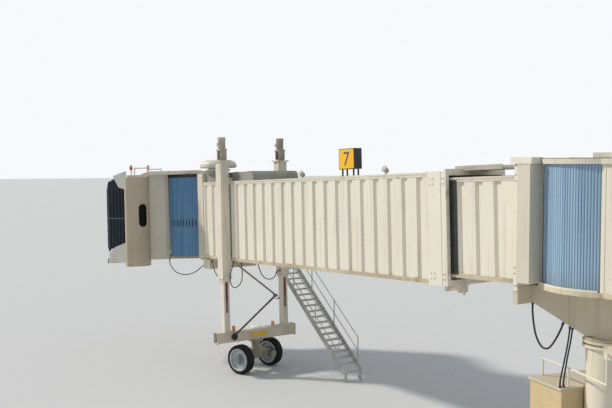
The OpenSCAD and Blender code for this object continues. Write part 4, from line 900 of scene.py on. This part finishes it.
# Red lamps on stalks over the cab's roof.
dome = [(0.0005, 3.552), (0.062, 3.552), (0.066, 3.565), (0.063, 3.6), (0.066, 3.63), (0.062, 3.68),
        (0.045, 3.722), (0.02, 3.74), (0.0005, 3.742)]
lamps = [lathe_mesh(dome, 40, on_cab, at) for at in ((2.35, 0.7), (2.95, 1.15))]
red = lens_finish("red_lens", "D3202B", "C8141F", "F04048", 0.2)
make_piece("red_lamp_lenses", *gather(lamps), red, "cab", "yellow_paint")

# The hood that closes on the aircraft: one sheet of navy coated fabric in deep pleats over
# hidden bows, held by a webbing strap at half height, with a foam bumper along its front edge.
fabric = Finish("navy_fabric", "16222C", Roughness=0.7, Sheen_Weight=0.12)
fold = fabric.noise((2.5, 2.5, 1.0), 5)
cloth = fabric.mix(fold.clear(0.35, 0.75), "121C28", "22333F")
cloth = fabric.mix(fold.clear(0.62, 0.8) * 0.4, cloth, "3E4A52")
fabric.drive(Base_Color=cloth, Roughness=0.6 + fold * 0.25)
fabric.bump(fabric.noise(160, 2), 0.0015)
HOOD_X0, HOOD_X1 = 3.062, 3.90
HOOD_HALF, PLEAT_DEPTH, PLEATS = 1.422, 0.053, 6
VALLEY_DROP, VALLEY_SAG = 0.045, 0.012
HOOD_ROWS, HOOD_COLS = 97, 121
SIDE_SHARE, HOOD_CORNER = 0.36, 0.14


def pleat_height(share):
    """0 in the valleys and 1 on the bows, at a share of the hood's reach."""
    return np.abs(np.sin(math.pi * PLEATS * share)) ** 0.7


u = np.linspace(0, 1, HOOD_ROWS)[:, None]
x = HOOD_X0 + (HOOD_X1 - HOOD_X0) * u
pleat = pleat_height(u)
# The lower edge is level, then drawn down to the front. The upper edge rises over the bows and
# falls away to the bumper.
low = np.interp(x, [3.05, 3.77, 3.80, 3.95], [0.275, 0.275, 0.2, 0.135])
high = np.interp(x, [3.05, 3.61, 3.86, 3.95], [3.165, 3.205, 3.08, 2.70])
out = HOOD_HALF + PLEAT_DEPTH * pleat
v = np.linspace(0, 1, HOOD_COLS)[None, :]
up_left = np.clip(v / SIDE_SHARE, 0, 1)
across = np.clip((v - SIDE_SHARE) / (1 - 2 * SIDE_SHARE), 0, 1)
down_right = np.clip((v - 1 + SIDE_SHARE) / SIDE_SHARE, 0, 1)
rise = up_left - down_right
crown = high - VALLEY_DROP * (1 - pleat)
y = out * (1 - 2 * across)
z = low + (crown - low) * rise
round_off = np.maximum(0, np.abs(y) - (out - HOOD_CORNER)) / HOOD_CORNER
on_top = (v > SIDE_SHARE) & (v < 1 - SIDE_SHARE)
z = z - HOOD_CORNER * 0.35 * np.where(on_top, round_off**2, rise**12)
y = y - np.sign(y) * VALLEY_SAG * np.sin(math.pi * np.clip(rise, 0, 1)) * (1 - pleat)
hood_points = on_cab(np.stack([x + 0 * y, y, z], -1))
hood = make_piece("hood_fabric", hood_points, skin(HOOD_ROWS, HOOD_COLS), fabric, "cab", "canopy_fabric")
stuff = hood.modifiers.new("cloth", "SOLIDIFY")
stuff.thickness = 0.006
stuff.offset = 0
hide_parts("canopy")

LIP_X = 3.905
heights = np.linspace(0.2, 2.75, 24)
edges = [[(LIP_X - 0.03 * (h < 0.3), way * 1.40, h) for h in heights][:: way] for way in BOTH]
top = [(LIP_X, y, 2.86 + 0.11 * (1 - (abs(y) / 1.35) ** 4)) for y in np.linspace(1.3, -1.3, 22)]
bumper_line = on_cab(edges[0] + top + edges[1])
puff = 0.038 + 0.003 * np.sin(np.arange(len(bumper_line)) * 1.9)
puff[[0, -1]] = 0.012
bumper = make_piece("hood_bumper", *sleeve_mesh(bumper_line, puff, 18), fabric, "cab", "canopy_fabric")
smooth_bumper = bumper.modifiers.new("smooth", "SUBSURF")
smooth_bumper.levels = smooth_bumper.render_levels = 1
x = np.linspace(3.07, 3.88, 40)
wave = np.maximum(pleat_height((x - HOOD_X0) / (HOOD_X1 - HOOD_X0)), 0.6)
bands = []
for way in BOTH:
    y = way * (HOOD_HALF + PLEAT_DEPTH * wave + 0.006)
    corners = rectangle(0, -0.02, 0.004, 0.02)
    band = np.stack([np.stack([x, y + way * o, 1.46 + h + 0.02 * x], -1) for o, h in corners], 1)
    bands.append((on_cab(band).reshape(-1, 3), tube_faces(len(x), len(corners))))
webbing = Finish("grey_webbing", "5E6A78", Roughness=0.75)
ribs = webbing.noise(90, 2)
webbing.drive(Base_Color=webbing.mix(ribs, "4C5866", "76828F"))
webbing.bump(ribs, 0.002)
make_piece("hood_straps", *gather(bands), webbing, "cab", "canopy_fabric", False)

# Black rubber buffers at the front corners of the cab's floor, where it meets the aircraft.
buffers = [plate_mesh(rounded(0.13, 0.19, 0.03), 0.02, (3.862, way * 1.555, -0.22), (0, 1, 0), UP, on_cab)
           for way in BOTH]
soften(make_piece("floor_buffers", *gather(buffers), rubber, "cab", "black_rubber", False), 0.005)

# The service stair and landing: galvanised channel stringers, chequered treads and two-bar
# handrails, dulled and streaked.
zinc = Finish("galvanised_steel", "BCBDB9", Metallic=0.3, Roughness=0.5)
spangle = zinc.place(zinc.node("ShaderNodeTexVoronoi", {}, {"Vector": zinc.here, "Scale": 42.0}, 1))[0]
grey_wash = zinc.noise((2, 2, 1.2), 6)
tint = zinc.mix(spangle * 0.35, "B7B8B4", "D0D1CD")
tint = zinc.mix(grey_wash.clear(0.5, 0.75) * 0.6, tint, "968E80")
zinc.drive(Base_Color=tint, Roughness=0.42 + grey_wash * 0.25)
zinc.bump(grey_wash, 0.002, 0.5)
dress(zinc, "stair_flight", "stair_landing")
STAIR_TOP = (17.42445, -2.07, 4.33517)
TREAD_GOING, TREAD_RISE = 0.236, 0.186
marks = []
for i in range(1, 21):
    for k in range(8):
        for m in range(3):
            x = STAIR_TOP[0] - TREAD_GOING * i - 0.19 + 0.05 + 0.075 * m
            y = STAIR_TOP[1] - 0.34 + 0.68 * (k + 0.5) / 8
            z = STAIR_TOP[2] - TREAD_RISE * i + 0.005
            lean = 0.014 if (k + m) % 2 else -0.014
            line = [(x - 0.02, y - lean, z), (x, y, z + 0.0035), (x + 0.02, y + lean, z)]
            marks.append(sleeve_mesh(line, [0.002, 0.005, 0.002], 4))
make_piece("tread_pattern", *gather(marks), zinc, "stair", "galvanised", False)
